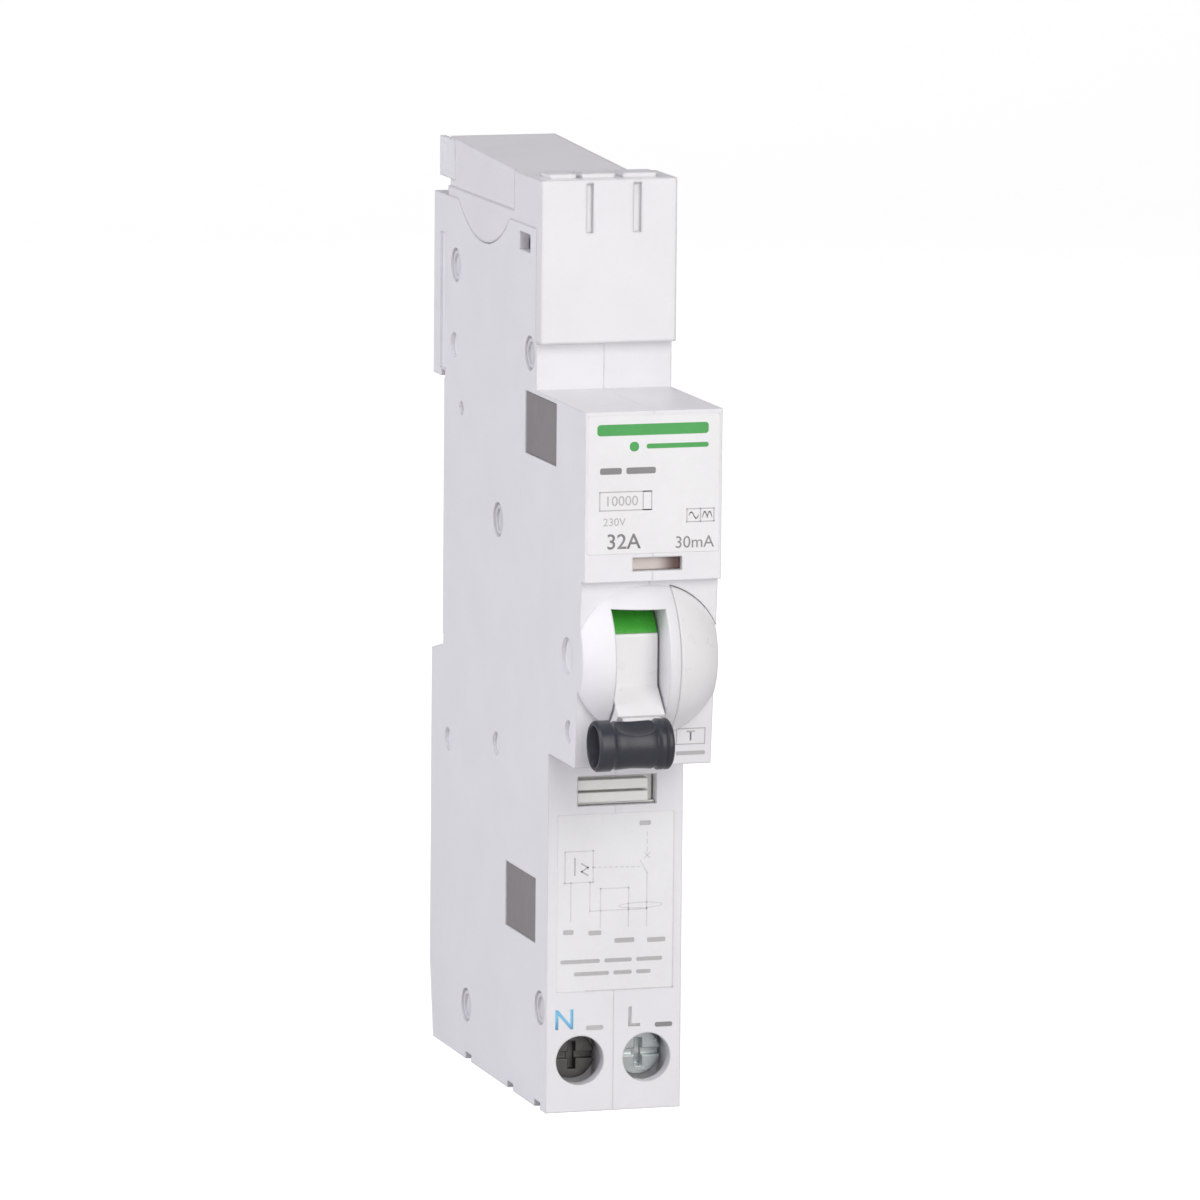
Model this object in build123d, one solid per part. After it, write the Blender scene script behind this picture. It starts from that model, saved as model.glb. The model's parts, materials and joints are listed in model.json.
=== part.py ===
from build123d import *
import math
import os

# Single-module plug-on residual current device (RCBO) for a 35 mm rail.
# Frame: the origin is the centre of the rail seat. +X is the device's right side,
# the front faces -Y, +Z is up. A "forward" distance f is measured from the rail's
# face towards the front, so a point at f lies at y = -f. Millimetres.

os.makedirs("parts", exist_ok=True)

# ---- casing ---------------------------------------------------------------------
CASE_WIDTH = 17.7            # one rail module less the assembly gap
BOTTOM_DROP = 70.6           # rail centre down to the underside
CASING_RISE = 40.7           # rail centre up to the top of the two casing halves
REAR_DEPTH = 5.0             # rear face behind the rail's face
REAR_TAPER = 1.8             # how far the lower rear corner is drawn in
REAR_TAPER_HEIGHT = 10.0
LOWER_FRONT = 48.0           # rail face to the lower front face
NOSE_PROUD_LOW = 11.2        # nose face ahead of the lower front, at its foot
NOSE_PROUD_HIGH = 13.3       # the same under the rating block
NOSE_BOTTOM = -24.6
NOSE_TOP = 20.4
RATING_BLOCK_BOTTOM = -0.9
RATING_BLOCK_PROUD = 1.2     # rating block ahead of the nose face
NECK_FRONT = 41.3            # narrower front above the nose
WALL = 1.8                   # front, rear, top and bottom walls
SIDE_WALL = 1.3

# ---- rail seat and latch ----------------------------------------------------------
RAIL_WIDTH = 35.0
RAIL_LIP = 1.4               # room for the rail's flange in front of the hook
HOOK_GRIP = 0.5              # how far the fixed hook reaches over the rail's edge
HOOK_PLAY = 0.3              # gap above the rail's upper edge
LATCH_GRIP = 0.7             # how far the sprung latch reaches over the lower edge
LATCH_ROOM = 0.5             # gap below the rail's lower edge, closed by the latch
SHELF_DROP = 1.2             # fall of the recess's lower shelf towards the rear
LATCH_WIDTH = 8.0
LATCH_FACE_WIDTH = 5.9
LATCH_LENGTH = 31.5
LATCH_TRAVEL = 3.0
LATCH_SPRING_LENGTH = 7.2
SEAT_RELIEF = 0.3            # depth of the undercuts above and below the rail seat
FOOT_NOTCHES = (12.0, 31.0, 43.0)  # forward places of the notches in the left bottom edge
SLIDE_GAP = 0.2

# ---- top cap ----------------------------------------------------------------------
CAP_HEIGHT = 6.3
CAP_SLOPE = 1.4              # the cap's top is this much higher at the rear
CAP_REAR = 1.3
CAP_WALL = 1.4
CAP_PLATE_PROUD = 1.7        # front plate ahead of the neck
CAP_PLATE_THICKNESS = 2.2
CAP_PLATE_BOTTOM = 26.4
CAP_BLOCK_DEPTH = 9.0        # full-width block behind the cap's front
CAP_NOTCH_WIDTH = 3.45       # strip left out along the right side
SHIELD_THICKNESS = 0.7
SHIELD_REAR = 3.5            # how far the blade stands behind the rail's face

# ---- toggle -----------------------------------------------------------------------
TOGGLE_FORWARD = 55.0
TOGGLE_HEIGHT = -11.0
TOGGLE_AXLE_DIAMETER = 2.4
TOGGLE_OFF_ANGLE = 39.0      # below the horizontal when off
HUB_RADIUS = 7.4
HUB_FLAT = 6.7               # flat front of the drum, ahead of the axle
HUB_LEFT = -5.1
HUB_RIGHT = 1.0
HUB_GAP = 0.25
LEVER_REACH = 15.2           # axle to the middle of the grip
LEVER_THICKNESS = 3.8
GRIP_RADIUS = 3.2
GRIP_LEFT = -8.8
GRIP_RIGHT = 1.3
CRANK_RADIUS = 5.5
CRANK_ANGLE = 140.0          # from straight forward, turning upward
CRANK_PIN_DIAMETER = 1.4
LINK_LENGTH = 8.0
LINK_THICKNESS = 1.0

# ---- front dome and test button ---------------------------------------------------
DOME_RADIUS = 9.6
DOME_CROWN = 11.5            # foremost point of the dome ahead of the axle
DOME_SHOULDER = 6.0          # height of the dome's rim ahead of the axle
DOME_SLOT_UP = 6.8           # slot edges above and below the axle
DOME_SLOT_DOWN = 10.2
BUTTON_LEFT = 2.75
BUTTON_GAP = 0.15
BUTTON_TRAVEL = 1.8
BUTTON_POCKET = 3.2          # pocket depth behind the nose face

# ---- terminals --------------------------------------------------------------------
TERMINAL_SPACING = 8.8
TERMINAL_RISE = 6.6          # screw centre above the underside
SCREW_HOLE_DIAMETER = 6.3
SCREW_HEAD_DIAMETER = 5.8
SCREW_HEAD_HEIGHT = 1.9
SCREW_DEPTH = 3.6            # head face behind the front face
SCREW_SHANK_DIAMETER = 4.8
SCREW_SHANK_LENGTH = 7.6
THREAD_GAP = 0.1
CAGE_TRAVEL = 4.4
CAGE_WIDTH = 5.7
CAGE_SIDE = 0.7
CAGE_HEIGHT = 8.4
CAGE_FRONT = 1.8
CAGE_REAR = 1.6
CAGE_MOUTH = 5.2             # wire room in the open cage
COLLAR = 0.9
PLATE_THICKNESS = 1.6
WIRE_ENTRY_DIAMETER = 5.2

# ---- contacts and trips -----------------------------------------------------------
ARM_FORWARD = 38.0
ARM_HEIGHT = -1.0
ARM_PIN_DIAMETER = 2.0
ARM_LEFT = 0.1
ARM_THICKNESS = 2.0
ARM_OPEN_ANGLE = 16.0
FIXED_TIP_FORWARD = 22.8     # face of the fixed contact
CONTACT_GAP = 0.05
TIP_THICKNESS = 1.0
COIL_FORWARD = 8.4
COIL_HEIGHT = -15.0
COIL_TURNS = 7
COIL_WIRE = 1.6
COIL_PITCH = 1.95
COIL_RADIUS = 4.1
PLUNGER_TRAVEL = 2.2
TRIP_FORWARD = 32.0
TRIP_HEIGHT = -36.5
TRIP_PIN_DIAMETER = 1.6
TRIP_THICKNESS = 1.6
RELAY_PIN_TRAVEL = 1.3
TOROID_FORWARD = 34.0
TOROID_RADIUS = 7.0
TOROID_BORE = 3.6
TOROID_HEIGHT = 7.0
CONDUCTOR_DIAMETER = 2.2

# ---- fasteners --------------------------------------------------------------------
RIVET_DIAMETER = 2.4
RIVET_HEAD_DIAMETER = 3.8
RIVET_RECESS_DIAMETER = 4.4
RIVET_RECESS_DEPTH = 0.7
RIVET_DISH_DEPTH = 0.3
BOSS_WALL = 1.7
REAR_GROOVE_DEPTH = 0.35
FIT_GAP = 0.05               # radial running gap of the pins
SMALL_GAP = 0.3

# ---- labels and windows -----------------------------------------------------------
LABEL_THICKNESS = 0.25
LABEL_POCKET = 0.3
WINDOW_PLUG_THICKNESS = 1.0

# ---- worked-out places ------------------------------------------------------------
HALF = CASE_WIDTH / 2
INNER = HALF - SIDE_WALL
BOTTOM = -BOTTOM_DROP
REAR = -REAR_DEPTH
NOSE_LOW = LOWER_FRONT + NOSE_PROUD_LOW
NOSE_HIGH = LOWER_FRONT + NOSE_PROUD_HIGH
RATING_FRONT = NOSE_HIGH + RATING_BLOCK_PROUD
CAP_FRONT = NECK_FRONT + CAP_PLATE_PROUD
CAP_PLATE_REAR = CAP_FRONT - CAP_PLATE_THICKNESS
CAP_TOP = CASING_RISE + CAP_HEIGHT
CAP_BLOCK_REAR = CAP_FRONT - CAP_BLOCK_DEPTH
RECESS_TOP = RAIL_WIDTH / 2 + HOOK_PLAY
RECESS_BOTTOM = -RAIL_WIDTH / 2 - LATCH_ROOM
HOOK_EDGE = RAIL_WIDTH / 2 - HOOK_GRIP
LATCH_TIP = -RAIL_WIDTH / 2 + LATCH_GRIP
TERMINAL_HEIGHT = BOTTOM + TERMINAL_RISE
TERMINAL_SIDES = {"n": -TERMINAL_SPACING / 2, "l": TERMINAL_SPACING / 2}
HEAD_FRONT = LOWER_FRONT - SCREW_DEPTH
HEAD_REAR = HEAD_FRONT - SCREW_HEAD_HEIGHT
SHANK_TIP = HEAD_REAR - SCREW_SHANK_LENGTH
CAGE_FRONT_FACE = HEAD_REAR - COLLAR - 2 * SLIDE_GAP - CAGE_TRAVEL
PLATE_FRONT = SHANK_TIP - 2 * SLIDE_GAP
PLATE_REAR = PLATE_FRONT - PLATE_THICKNESS
CAGE_REAR_INNER = PLATE_REAR - CAGE_MOUTH
WIRE_FORWARD = PLATE_REAR - CAGE_MOUTH / 2
TOROID_BASE = TERMINAL_HEIGHT + 13.5
TOROID_TOP = TOROID_BASE + TOROID_HEIGHT
COIL_LENGTH = COIL_TURNS * COIL_PITCH
YOKE_FRONT = COIL_FORWARD + COIL_LENGTH + 2 * COIL_WIRE
TRIP_TOP = COIL_HEIGHT + 4.0
RIVET_PLACES = [
    (5.0, CASING_RISE - 8.6),
    (NECK_FRONT - 2.9, CAP_PLATE_BOTTOM - 1.6),
    (24.9, 1.8),
    (12.1, BOTTOM + 7.1),
    (LOWER_FRONT - 3.0, BOTTOM + 13.0),
]
DIMPLES = [
    (4.5, 21.7, 3.2),
    (8.0, 13.9, 1.8),
    (TOGGLE_FORWARD + 0.6, TOGGLE_HEIGHT, 4.6),
    (TOGGLE_FORWARD + 1.3, TOGGLE_HEIGHT - 9.4, 2.8),
    (2.8, RECESS_BOTTOM - 12.1, 3.0),
    (24.8, RECESS_BOTTOM - 9.1, 3.0),
]
UPPER_WINDOW = (36.6, 50.2, 12.0, 19.9)
LOWER_WINDOW = (29.5, 42.8, BOTTOM + 20.9, BOTTOM + 29.2)


# ---- shape helpers ----------------------------------------------------------------
def block(x0, x1, f0, f1, z0, z1):
    """Box between two X, two forward distances and two heights."""
    box = Box(x1 - x0, f1 - f0, z1 - z0)
    return Pos((x0 + x1) / 2, -(f0 + f1) / 2, (z0 + z1) / 2) * box


def rod_x(f, z, radius, x0, x1):
    """Cylinder along X."""
    rod = Rot(0, 90, 0) * Cylinder(radius, x1 - x0)
    return Pos((x0 + x1) / 2, -f, z) * rod


def rod_f(x, z, radius, f0, f1):
    """Cylinder along the forward direction."""
    rod = Rot(90, 0, 0) * Cylinder(radius, f1 - f0)
    return Pos(x, -(f0 + f1) / 2, z) * rod


def rod_z(x, f, radius, z0, z1):
    """Cylinder along Z."""
    return Pos(x, -f, (z0 + z1) / 2) * Cylinder(radius, z1 - z0)


def profile(points, x0, x1):
    """Side outline of (forward, height) points, extruded from x0 to x1."""
    outline = Polyline(*[(x0, -f, z) for f, z in points], close=True)
    return extrude(make_face(outline), amount=x1 - x0, dir=(1, 0, 0))


def wire(points, diameter, bend):
    """Round wire along (x, forward, height) points with rounded bends."""
    places = [(x, -f, z) for x, f, z in points]
    path = FilletPolyline(*places, radius=bend)
    start = Plane(origin=path @ 0, z_dir=path % 0)
    return sweep(start * Circle(diameter / 2), path=path)


def coil(radius, wire_diameter, pitch, turns):
    """Helix of round wire about the local Z axis, its first centre at z = 0."""
    path = Helix(pitch=pitch, height=pitch * turns, radius=radius)
    start = Plane(origin=path @ 0, z_dir=path % 0)
    return sweep(start * Circle(wire_diameter / 2), path=path, is_frenet=True)


def about_toggle(shape, degrees):
    """Turn a shape about the toggle's axle; a positive angle lifts its front."""
    axle = Axis((0, -TOGGLE_FORWARD, TOGGLE_HEIGHT), (-1, 0, 0))
    return shape.rotate(axle, degrees)


def save(name, shape):
    """Write one sub-part."""
    export_step(shape, f"parts/{name}.step")


# ---- casing -----------------------------------------------------------------------
def outer_outline():
    """Side outline of the two casing halves."""
    return [
        (REAR + REAR_TAPER, BOTTOM),
        (LOWER_FRONT, BOTTOM),
        (LOWER_FRONT, NOSE_BOTTOM),
        (NOSE_LOW, NOSE_BOTTOM),
        (NOSE_HIGH, RATING_BLOCK_BOTTOM),
        (RATING_FRONT, RATING_BLOCK_BOTTOM),
        (RATING_FRONT, NOSE_TOP),
        (NECK_FRONT, NOSE_TOP),
        (NECK_FRONT, CAP_PLATE_BOTTOM),
        (CAP_PLATE_REAR, CAP_PLATE_BOTTOM),
        (CAP_PLATE_REAR, CASING_RISE),
        (REAR, CASING_RISE),
        (REAR, HOOK_EDGE),
        (-RAIL_LIP, HOOK_EDGE),
        (-RAIL_LIP, RECESS_TOP),
        (0, RECESS_TOP),
        (0, RECESS_BOTTOM),
        (REAR, RECESS_BOTTOM),
        (REAR, BOTTOM + REAR_TAPER_HEIGHT),
    ]


def inner_outline():
    """Side outline of the hollow inside the casing."""
    rear = REAR + WALL
    return [
        (rear + REAR_TAPER, BOTTOM + WALL),
        (LOWER_FRONT - WALL, BOTTOM + WALL),
        (LOWER_FRONT - WALL, NOSE_BOTTOM + WALL),
        (NOSE_LOW - WALL, NOSE_BOTTOM + WALL),
        (NOSE_HIGH - WALL, NOSE_TOP - WALL),
        (CAP_PLATE_REAR - WALL, NOSE_TOP - WALL),
        (CAP_PLATE_REAR - WALL, CASING_RISE - WALL),
        (rear, CASING_RISE - WALL),
        (rear, RECESS_TOP + WALL),
        (WALL, RECESS_TOP + WALL),
        (WALL, RECESS_BOTTOM - WALL),
        (rear, RECESS_BOTTOM - WALL - SHELF_DROP),
        (rear, BOTTOM + REAR_TAPER_HEIGHT),
    ]


def dome():
    """Round dome on the nose: a short drum closed by part of a ball."""
    base = NOSE_LOW - WALL
    rise = DOME_CROWN - DOME_SHOULDER
    ball_radius = (DOME_RADIUS**2 + rise**2) / (2 * rise)
    ball_f = TOGGLE_FORWARD + DOME_CROWN - ball_radius
    ball = Pos(0, -ball_f, TOGGLE_HEIGHT) * Sphere(ball_radius)
    drum = rod_f(0, TOGGLE_HEIGHT, DOME_RADIUS, base, TOGGLE_FORWARD + DOME_CROWN + 1)
    return ball & drum & block(-HALF, HALF, 0, 100, -100, 100)


def toggle_room():
    """Space for the drum behind the slot, and the slot through the dome."""
    left = HUB_LEFT - HUB_GAP
    right = HUB_RIGHT + HUB_GAP
    drum = rod_x(TOGGLE_FORWARD, TOGGLE_HEIGHT, HUB_RADIUS + 2 * HUB_GAP, left, right)
    slot = block(
        left,
        right,
        TOGGLE_FORWARD,
        TOGGLE_FORWARD + DOME_CROWN + 1,
        TOGGLE_HEIGHT - DOME_SLOT_DOWN,
        TOGGLE_HEIGHT + DOME_SLOT_UP,
    )
    return drum + slot


def button_room():
    """Pocket for the test button, open to the front and to the right side."""
    floor = nose_face(TOGGLE_HEIGHT) - BUTTON_POCKET
    rim = DOME_RADIUS + BUTTON_GAP
    low = TOGGLE_HEIGHT - rim
    high = TOGGLE_HEIGHT + rim
    side = block(BUTTON_LEFT - BUTTON_GAP, HALF + 1, floor, floor + 20, low, high)
    return side & rod_f(0, TOGGLE_HEIGHT, rim, floor - 1, floor + 21)


def nose_face(z):
    """Forward distance of the sloping lower nose face at a height."""
    share = (z - NOSE_BOTTOM) / (RATING_BLOCK_BOTTOM - NOSE_BOTTOM)
    return NOSE_LOW + share * (NOSE_HIGH - NOSE_LOW)


def ordered(a, b):
    """Two values, the lower one first."""
    return (a, b) if a < b else (b, a)


def side_block(side, x0, x1, f0, f1, z0, z1):
    """Box in one half; x0 and x1 are distances out from the middle plane."""
    low, high = ordered(side * x0, side * x1)
    return block(low, high, f0, f1, z0, z1)


def side_rod(side, f, z, radius, x0, x1):
    """Cylinder along X in one half, by distances from the middle plane."""
    low, high = ordered(side * x0, side * x1)
    return rod_x(f, z, radius, low, high)


def half_shell(side):
    """Bare half casing: outline, hollow, dome half and rail latch channel."""
    low, high = ordered(0, side * HALF)
    shell = profile(outer_outline(), low, high)
    dome_half = dome() & side_block(side, 0, HALF, 0, 100, -100, 100)
    low, high = ordered(0, side * INNER)
    hollow = profile(inner_outline(), low, high)
    shell = shell + dome_half - hollow
    channel_wall = side_block(
        side,
        0,
        LATCH_WIDTH / 2 + 1.8,
        REAR + WALL - 0.5,
        REAR + 2.4 + 1.6,
        latch_floor() - 1.5,
        RECESS_BOTTOM,
    )
    nose_wall = side_block(
        side,
        0,
        LATCH_WIDTH / 2 + 1.8,
        REAR + WALL - 0.5,
        0.4,
        RECESS_BOTTOM - LATCH_TRAVEL - 1.8,
        RECESS_BOTTOM,
    )
    strip = side_block(
        side, HALF - REAR_GROOVE_DEPTH, HALF + 1, -2.2, 0.6, HOOK_EDGE + 1.0, CASING_RISE - 5.0
    )
    return shell + channel_wall + nose_wall - latch_channel() - shelf_slope() - strip


def shelf_slope():
    """Wedge above the recess's lower shelf, which falls towards the rear."""
    low = RECESS_BOTTOM - SHELF_DROP
    high = RECESS_BOTTOM + 2.0
    points = [(0, RECESS_BOTTOM), (REAR, low), (REAR - 1, low), (REAR - 1, high), (0, high)]
    return profile(points, -CASE_WIDTH, CASE_WIDTH)


def latch_floor():
    """Height of the closed lower end of the latch channel."""
    return LATCH_TIP - LATCH_LENGTH - LATCH_SPRING_LENGTH - 2 * SLIDE_GAP


def latch_channel():
    """T-shaped channel in the rear face that holds the rail latch."""
    wide = LATCH_WIDTH / 2 + SLIDE_GAP
    narrow = LATCH_FACE_WIDTH / 2 + SLIDE_GAP
    top = RECESS_BOTTOM + 1
    inside = block(-wide, wide, REAR + 1.0, REAR + 2.4, latch_floor(), top)
    mouth = block(-narrow, narrow, REAR - 1, REAR + 1.1, latch_floor(), top)
    nose_low = RECESS_BOTTOM - LATCH_TRAVEL - SLIDE_GAP
    nose = block(-narrow, narrow, REAR + 1, -RAIL_LIP + SLIDE_GAP, nose_low, top)
    return inside + mouth + nose


def add_bosses(shell, side):
    """Rivet bosses and the bosses of the inner pins."""
    for f, z in RIVET_PLACES:
        shell += side_rod(side, f, z, RIVET_DIAMETER / 2 + BOSS_WALL, 0, INNER + 0.5)
    shell += side_rod(side, ARM_FORWARD, ARM_HEIGHT, 2.4, 2.6, INNER + 0.5)
    shell += side_rod(side, TRIP_FORWARD, TRIP_HEIGHT, 1.9, 3.6, INNER + 0.5)
    return shell


def cut_rivets(shell, side):
    """Rivet holes and their recesses in the side face."""
    hole = RIVET_DIAMETER / 2 + FIT_GAP
    for f, z in RIVET_PLACES:
        shell -= side_rod(side, f, z, hole, -1, HALF + 1)
        floor = HALF - RIVET_RECESS_DEPTH
        shell -= side_rod(side, f, z, RIVET_RECESS_DIAMETER / 2, floor, HALF + 1)
    return shell


def cut_pins(shell, side):
    """Blind holes for the arm pin, the trip lever pin and the toggle axle."""
    deep = HALF - 0.6
    arm = ARM_PIN_DIAMETER / 2 + FIT_GAP
    trip = TRIP_PIN_DIAMETER / 2 + FIT_GAP
    axle = TOGGLE_AXLE_DIAMETER / 2 + FIT_GAP
    shell -= side_rod(side, ARM_FORWARD, ARM_HEIGHT, arm, 2, deep)
    shell -= side_rod(side, TRIP_FORWARD, TRIP_HEIGHT, trip, 3, deep)
    if side < 0:
        return shell - side_rod(side, TOGGLE_FORWARD, TOGGLE_HEIGHT, axle, 3, deep)
    rib_far = BUTTON_LEFT - BUTTON_GAP
    return shell - side_rod(side, TOGGLE_FORWARD, TOGGLE_HEIGHT, axle, 1, rib_far)


def add_terminal_walls(shell, side):
    """Partition between the two terminals and the collar under a screw head."""
    middle = TERMINAL_SPACING / 2
    low = BOTTOM + WALL - 0.2
    high = TERMINAL_HEIGHT + CAGE_HEIGHT / 2
    partition_end = middle - CAGE_WIDTH / 2 - 2 * SLIDE_GAP
    front = LOWER_FRONT - WALL + 0.2
    shell += side_block(side, 0, partition_end, CAGE_REAR_INNER - 4, front, low, high)
    collar = side_block(
        side,
        0,
        INNER + 0.2,
        HEAD_REAR - COLLAR - SLIDE_GAP,
        HEAD_REAR - SLIDE_GAP,
        low,
        high,
    )
    hole = rod_f(side * middle, TERMINAL_HEIGHT, SCREW_SHANK_DIAMETER / 2 + 2 * THREAD_GAP, 0, 60)
    return shell + (collar - hole)


def cut_terminal_holes(shell, side):
    """Screw access hole in the front and wire entry in the underside."""
    x = side * TERMINAL_SPACING / 2
    access = rod_f(x, TERMINAL_HEIGHT, SCREW_HOLE_DIAMETER / 2, HEAD_REAR, LOWER_FRONT + 1)
    entry = rod_z(x, WIRE_FORWARD, WIRE_ENTRY_DIAMETER / 2, BOTTOM - 1, BOTTOM + WALL + 0.1)
    return shell - access - entry


def add_supports(shell, side):
    """Ribs that hold the coil yoke, the arc chute and the toroid."""
    for f in (COIL_FORWARD, YOKE_FRONT - 3.0):
        shell += side_block(side, 5.85, INNER + 0.2, f, f + 1.6, COIL_HEIGHT - 6, COIL_HEIGHT + 6)
    for z in (-1.0, 9.0):
        shell += side_block(side, 6.85, INNER + 0.2, 6.0, 16.0, z, z + 1.4)
    toroid_middle = (TOROID_BASE + TOROID_TOP) / 2
    shell += side_block(
        side,
        TOROID_RADIUS + 0.02,
        INNER + 0.2,
        TOROID_FORWARD - 2.5,
        TOROID_FORWARD + 2.5,
        toroid_middle - 2.5,
        toroid_middle + 2.5,
    )
    return shell + side_block(side, 2.4, INNER + 0.2, 7.0, 9.0, RECESS_TOP + WALL - 0.2, 22.6)


def vent_recess():
    """Vent cut-out under the nose."""
    top = NOSE_BOTTOM - 3.1
    return block(-5.0, 5.4, LOWER_FRONT - WALL - 1, LOWER_FRONT + 1, top - 3.8, top)


def wiring_label_room():
    """Shallow pocket of the wiring label."""
    front = LOWER_FRONT
    right = HALF - 1.25
    return block(-right + 0.1, right, front - LABEL_POCKET, front + 1, BOTTOM + 15.5, NOSE_BOTTOM - 8.0)


def rating_label_room():
    """Shallow pocket of the rating label."""
    edge = HALF - 0.4
    front = RATING_FRONT
    return block(-edge, edge, front - LABEL_POCKET, front + 1, RATING_BLOCK_BOTTOM + 3.6, NOSE_TOP - 0.6)


def marker_room():
    """Narrow slot under the rating label for the marker strip."""
    low = RATING_BLOCK_BOTTOM + 1.3
    return block(-2.6, 3.8, RATING_FRONT - 1.2, RATING_FRONT + 1, low, low + 1.7)


def button_rib(shell):
    """Rib between the drum and the test button, and the seat of the button's spring."""
    left = HUB_RIGHT + HUB_GAP
    right = BUTTON_LEFT - BUTTON_GAP
    front = nose_face(TOGGLE_HEIGHT) - 1.0
    rib = block(left, right, 44.2, front, NOSE_BOTTOM + WALL - 0.2, TOGGLE_HEIGHT + 10)
    seat = block(right - 0.2, INNER + 0.2, 44.2, 45.2, TOGGLE_HEIGHT - 3, TOGGLE_HEIGHT + 3)
    return shell + (rib + seat)


def window_room(window):
    """Opening in the left side wall for a grey plug, with its shallow seat."""
    f0, f1, z0, z1 = window
    return block(-HALF - 1, -HALF + WINDOW_PLUG_THICKNESS, f0, f1, z0, z1)


def grommet_room():
    """Oblong hole in the underside, left half, for the lead grommet."""
    x0, x1, f0, f1 = grommet_sides()
    hole = block(x0, x1, f0, f1, BOTTOM - 1, BOTTOM + WALL + 1)
    flange = block(x0 - 0.6, x1 + 0.6, f0 - 0.6, f1 + 0.6, BOTTOM - 1, BOTTOM + 0.9)
    return hole + flange


def grommet_sides():
    """X and forward limits of the grommet's body."""
    return (-HALF + 2.45, -1.6, 16.2, 24.0)


def foot_notches():
    """Three small notches in the left bottom edge."""
    pieces = []
    for f in FOOT_NOTCHES:
        pieces.append(block(-HALF - 1, -HALF + 1.6, f, f + 2.6, BOTTOM - 1, BOTTOM + 0.9))
    return pieces[0] + pieces[1:]


def seat_relief():
    """Undercuts above and below the rail seat, so that only the seat touches the rail."""
    left, right = -CASE_WIDTH, CASE_WIDTH
    above = block(left, right, -1.0, SEAT_RELIEF, HOOK_EDGE - SLIDE_GAP, RECESS_TOP)
    below = block(left, right, -1.0, SEAT_RELIEF, RECESS_BOTTOM, LATCH_TIP + SLIDE_GAP)
    return above + below


def left_casing():
    """Left half, with the side windows and the lead outlet."""
    shell = add_terminal_walls(half_shell(-1), -1)
    shell = add_supports(add_bosses(shell, -1), -1)
    shell = cut_terminal_holes(cut_pins(cut_rivets(shell, -1), -1), -1)
    for f, z, diameter in DIMPLES:
        shell -= rod_x(f, z, diameter / 2, -HALF - 1, -HALF + 0.5)
    shell -= window_room(UPPER_WINDOW) + window_room(LOWER_WINDOW)
    window_light = block(-HALF - 1, -INNER + 0.1, 33.6, 38.2, CASING_RISE - 3.3, CASING_RISE - 1.0)
    shell = shell - window_light - grommet_room() - foot_notches() - cap_lobe_room()
    return shell - common_cuts()


def right_casing():
    """Right half, with the rib beside the drum and the test button's pocket."""
    shell = add_terminal_walls(half_shell(1), 1)
    shell = add_supports(add_bosses(shell, 1), 1)
    shell = button_rib(shell) - button_room()
    shell += block(5.4, INNER + 0.2, 25.0, 29.0, TRIP_HEIGHT - 4.5, TRIP_HEIGHT + 2.5)
    shell = cut_terminal_holes(cut_pins(cut_rivets(shell, 1), 1), 1)
    return shell - common_cuts()


def common_cuts():
    """Cuts that cross the joint between the halves."""
    slot = block(-1.6, 1.6, REAR - 1, REAR + WALL + 0.2, jaw_base() + 0.2, jaw_base() + 6.6)
    cuts = toggle_room() + vent_recess() + wiring_label_room()
    return cuts + rating_label_room() + marker_room() + slot + seat_relief()


def casing_rivets():
    """Tubular steel rivets that hold the halves together."""
    rivets = []
    seat = HALF - RIVET_RECESS_DEPTH
    head_face = HALF - 0.2
    dish = RIVET_HEAD_DIAMETER / 2 - 0.5
    for f, z in RIVET_PLACES:
        rivet = rod_x(f, z, RIVET_DIAMETER / 2, -head_face, head_face)
        for side in (-1, 1):
            rivet += side_rod(side, f, z, RIVET_HEAD_DIAMETER / 2, seat, head_face)
            rivet -= side_rod(side, f, z, dish, head_face - RIVET_DISH_DEPTH, head_face + 1)
        rivets.append(rivet)
    return Compound(rivets)


# ---- cap and shield ---------------------------------------------------------------
def lobe_solid(grow):
    """Round lobe that hangs from the cap's left side into the casing."""
    top = CASING_RISE + grow
    arc = ThreePointArc(
        (-HALF, -6.0 + grow, top), (-HALF, -18.2, CASING_RISE - 4.2 - grow), (-HALF, -29.2 - grow, top)
    )
    face = make_face(arc + Line(arc @ 1, arc @ 0))
    return extrude(face, amount=SIDE_WALL / 2 + grow, dir=(1, 0, 0))


def cap_lobe_room():
    """Pocket in the left casing for the cap's lobe."""
    return lobe_solid(0.12)


def cap_outline():
    """Side outline of the cap with its front plate."""
    return [
        (CAP_REAR, CASING_RISE),
        (CAP_PLATE_REAR, CASING_RISE),
        (CAP_PLATE_REAR, CAP_PLATE_BOTTOM),
        (CAP_FRONT, CAP_PLATE_BOTTOM),
        (CAP_FRONT, CAP_TOP),
        (CAP_BLOCK_REAR, CAP_TOP),
        (CAP_REAR, CAP_TOP + CAP_SLOPE),
    ]


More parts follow.
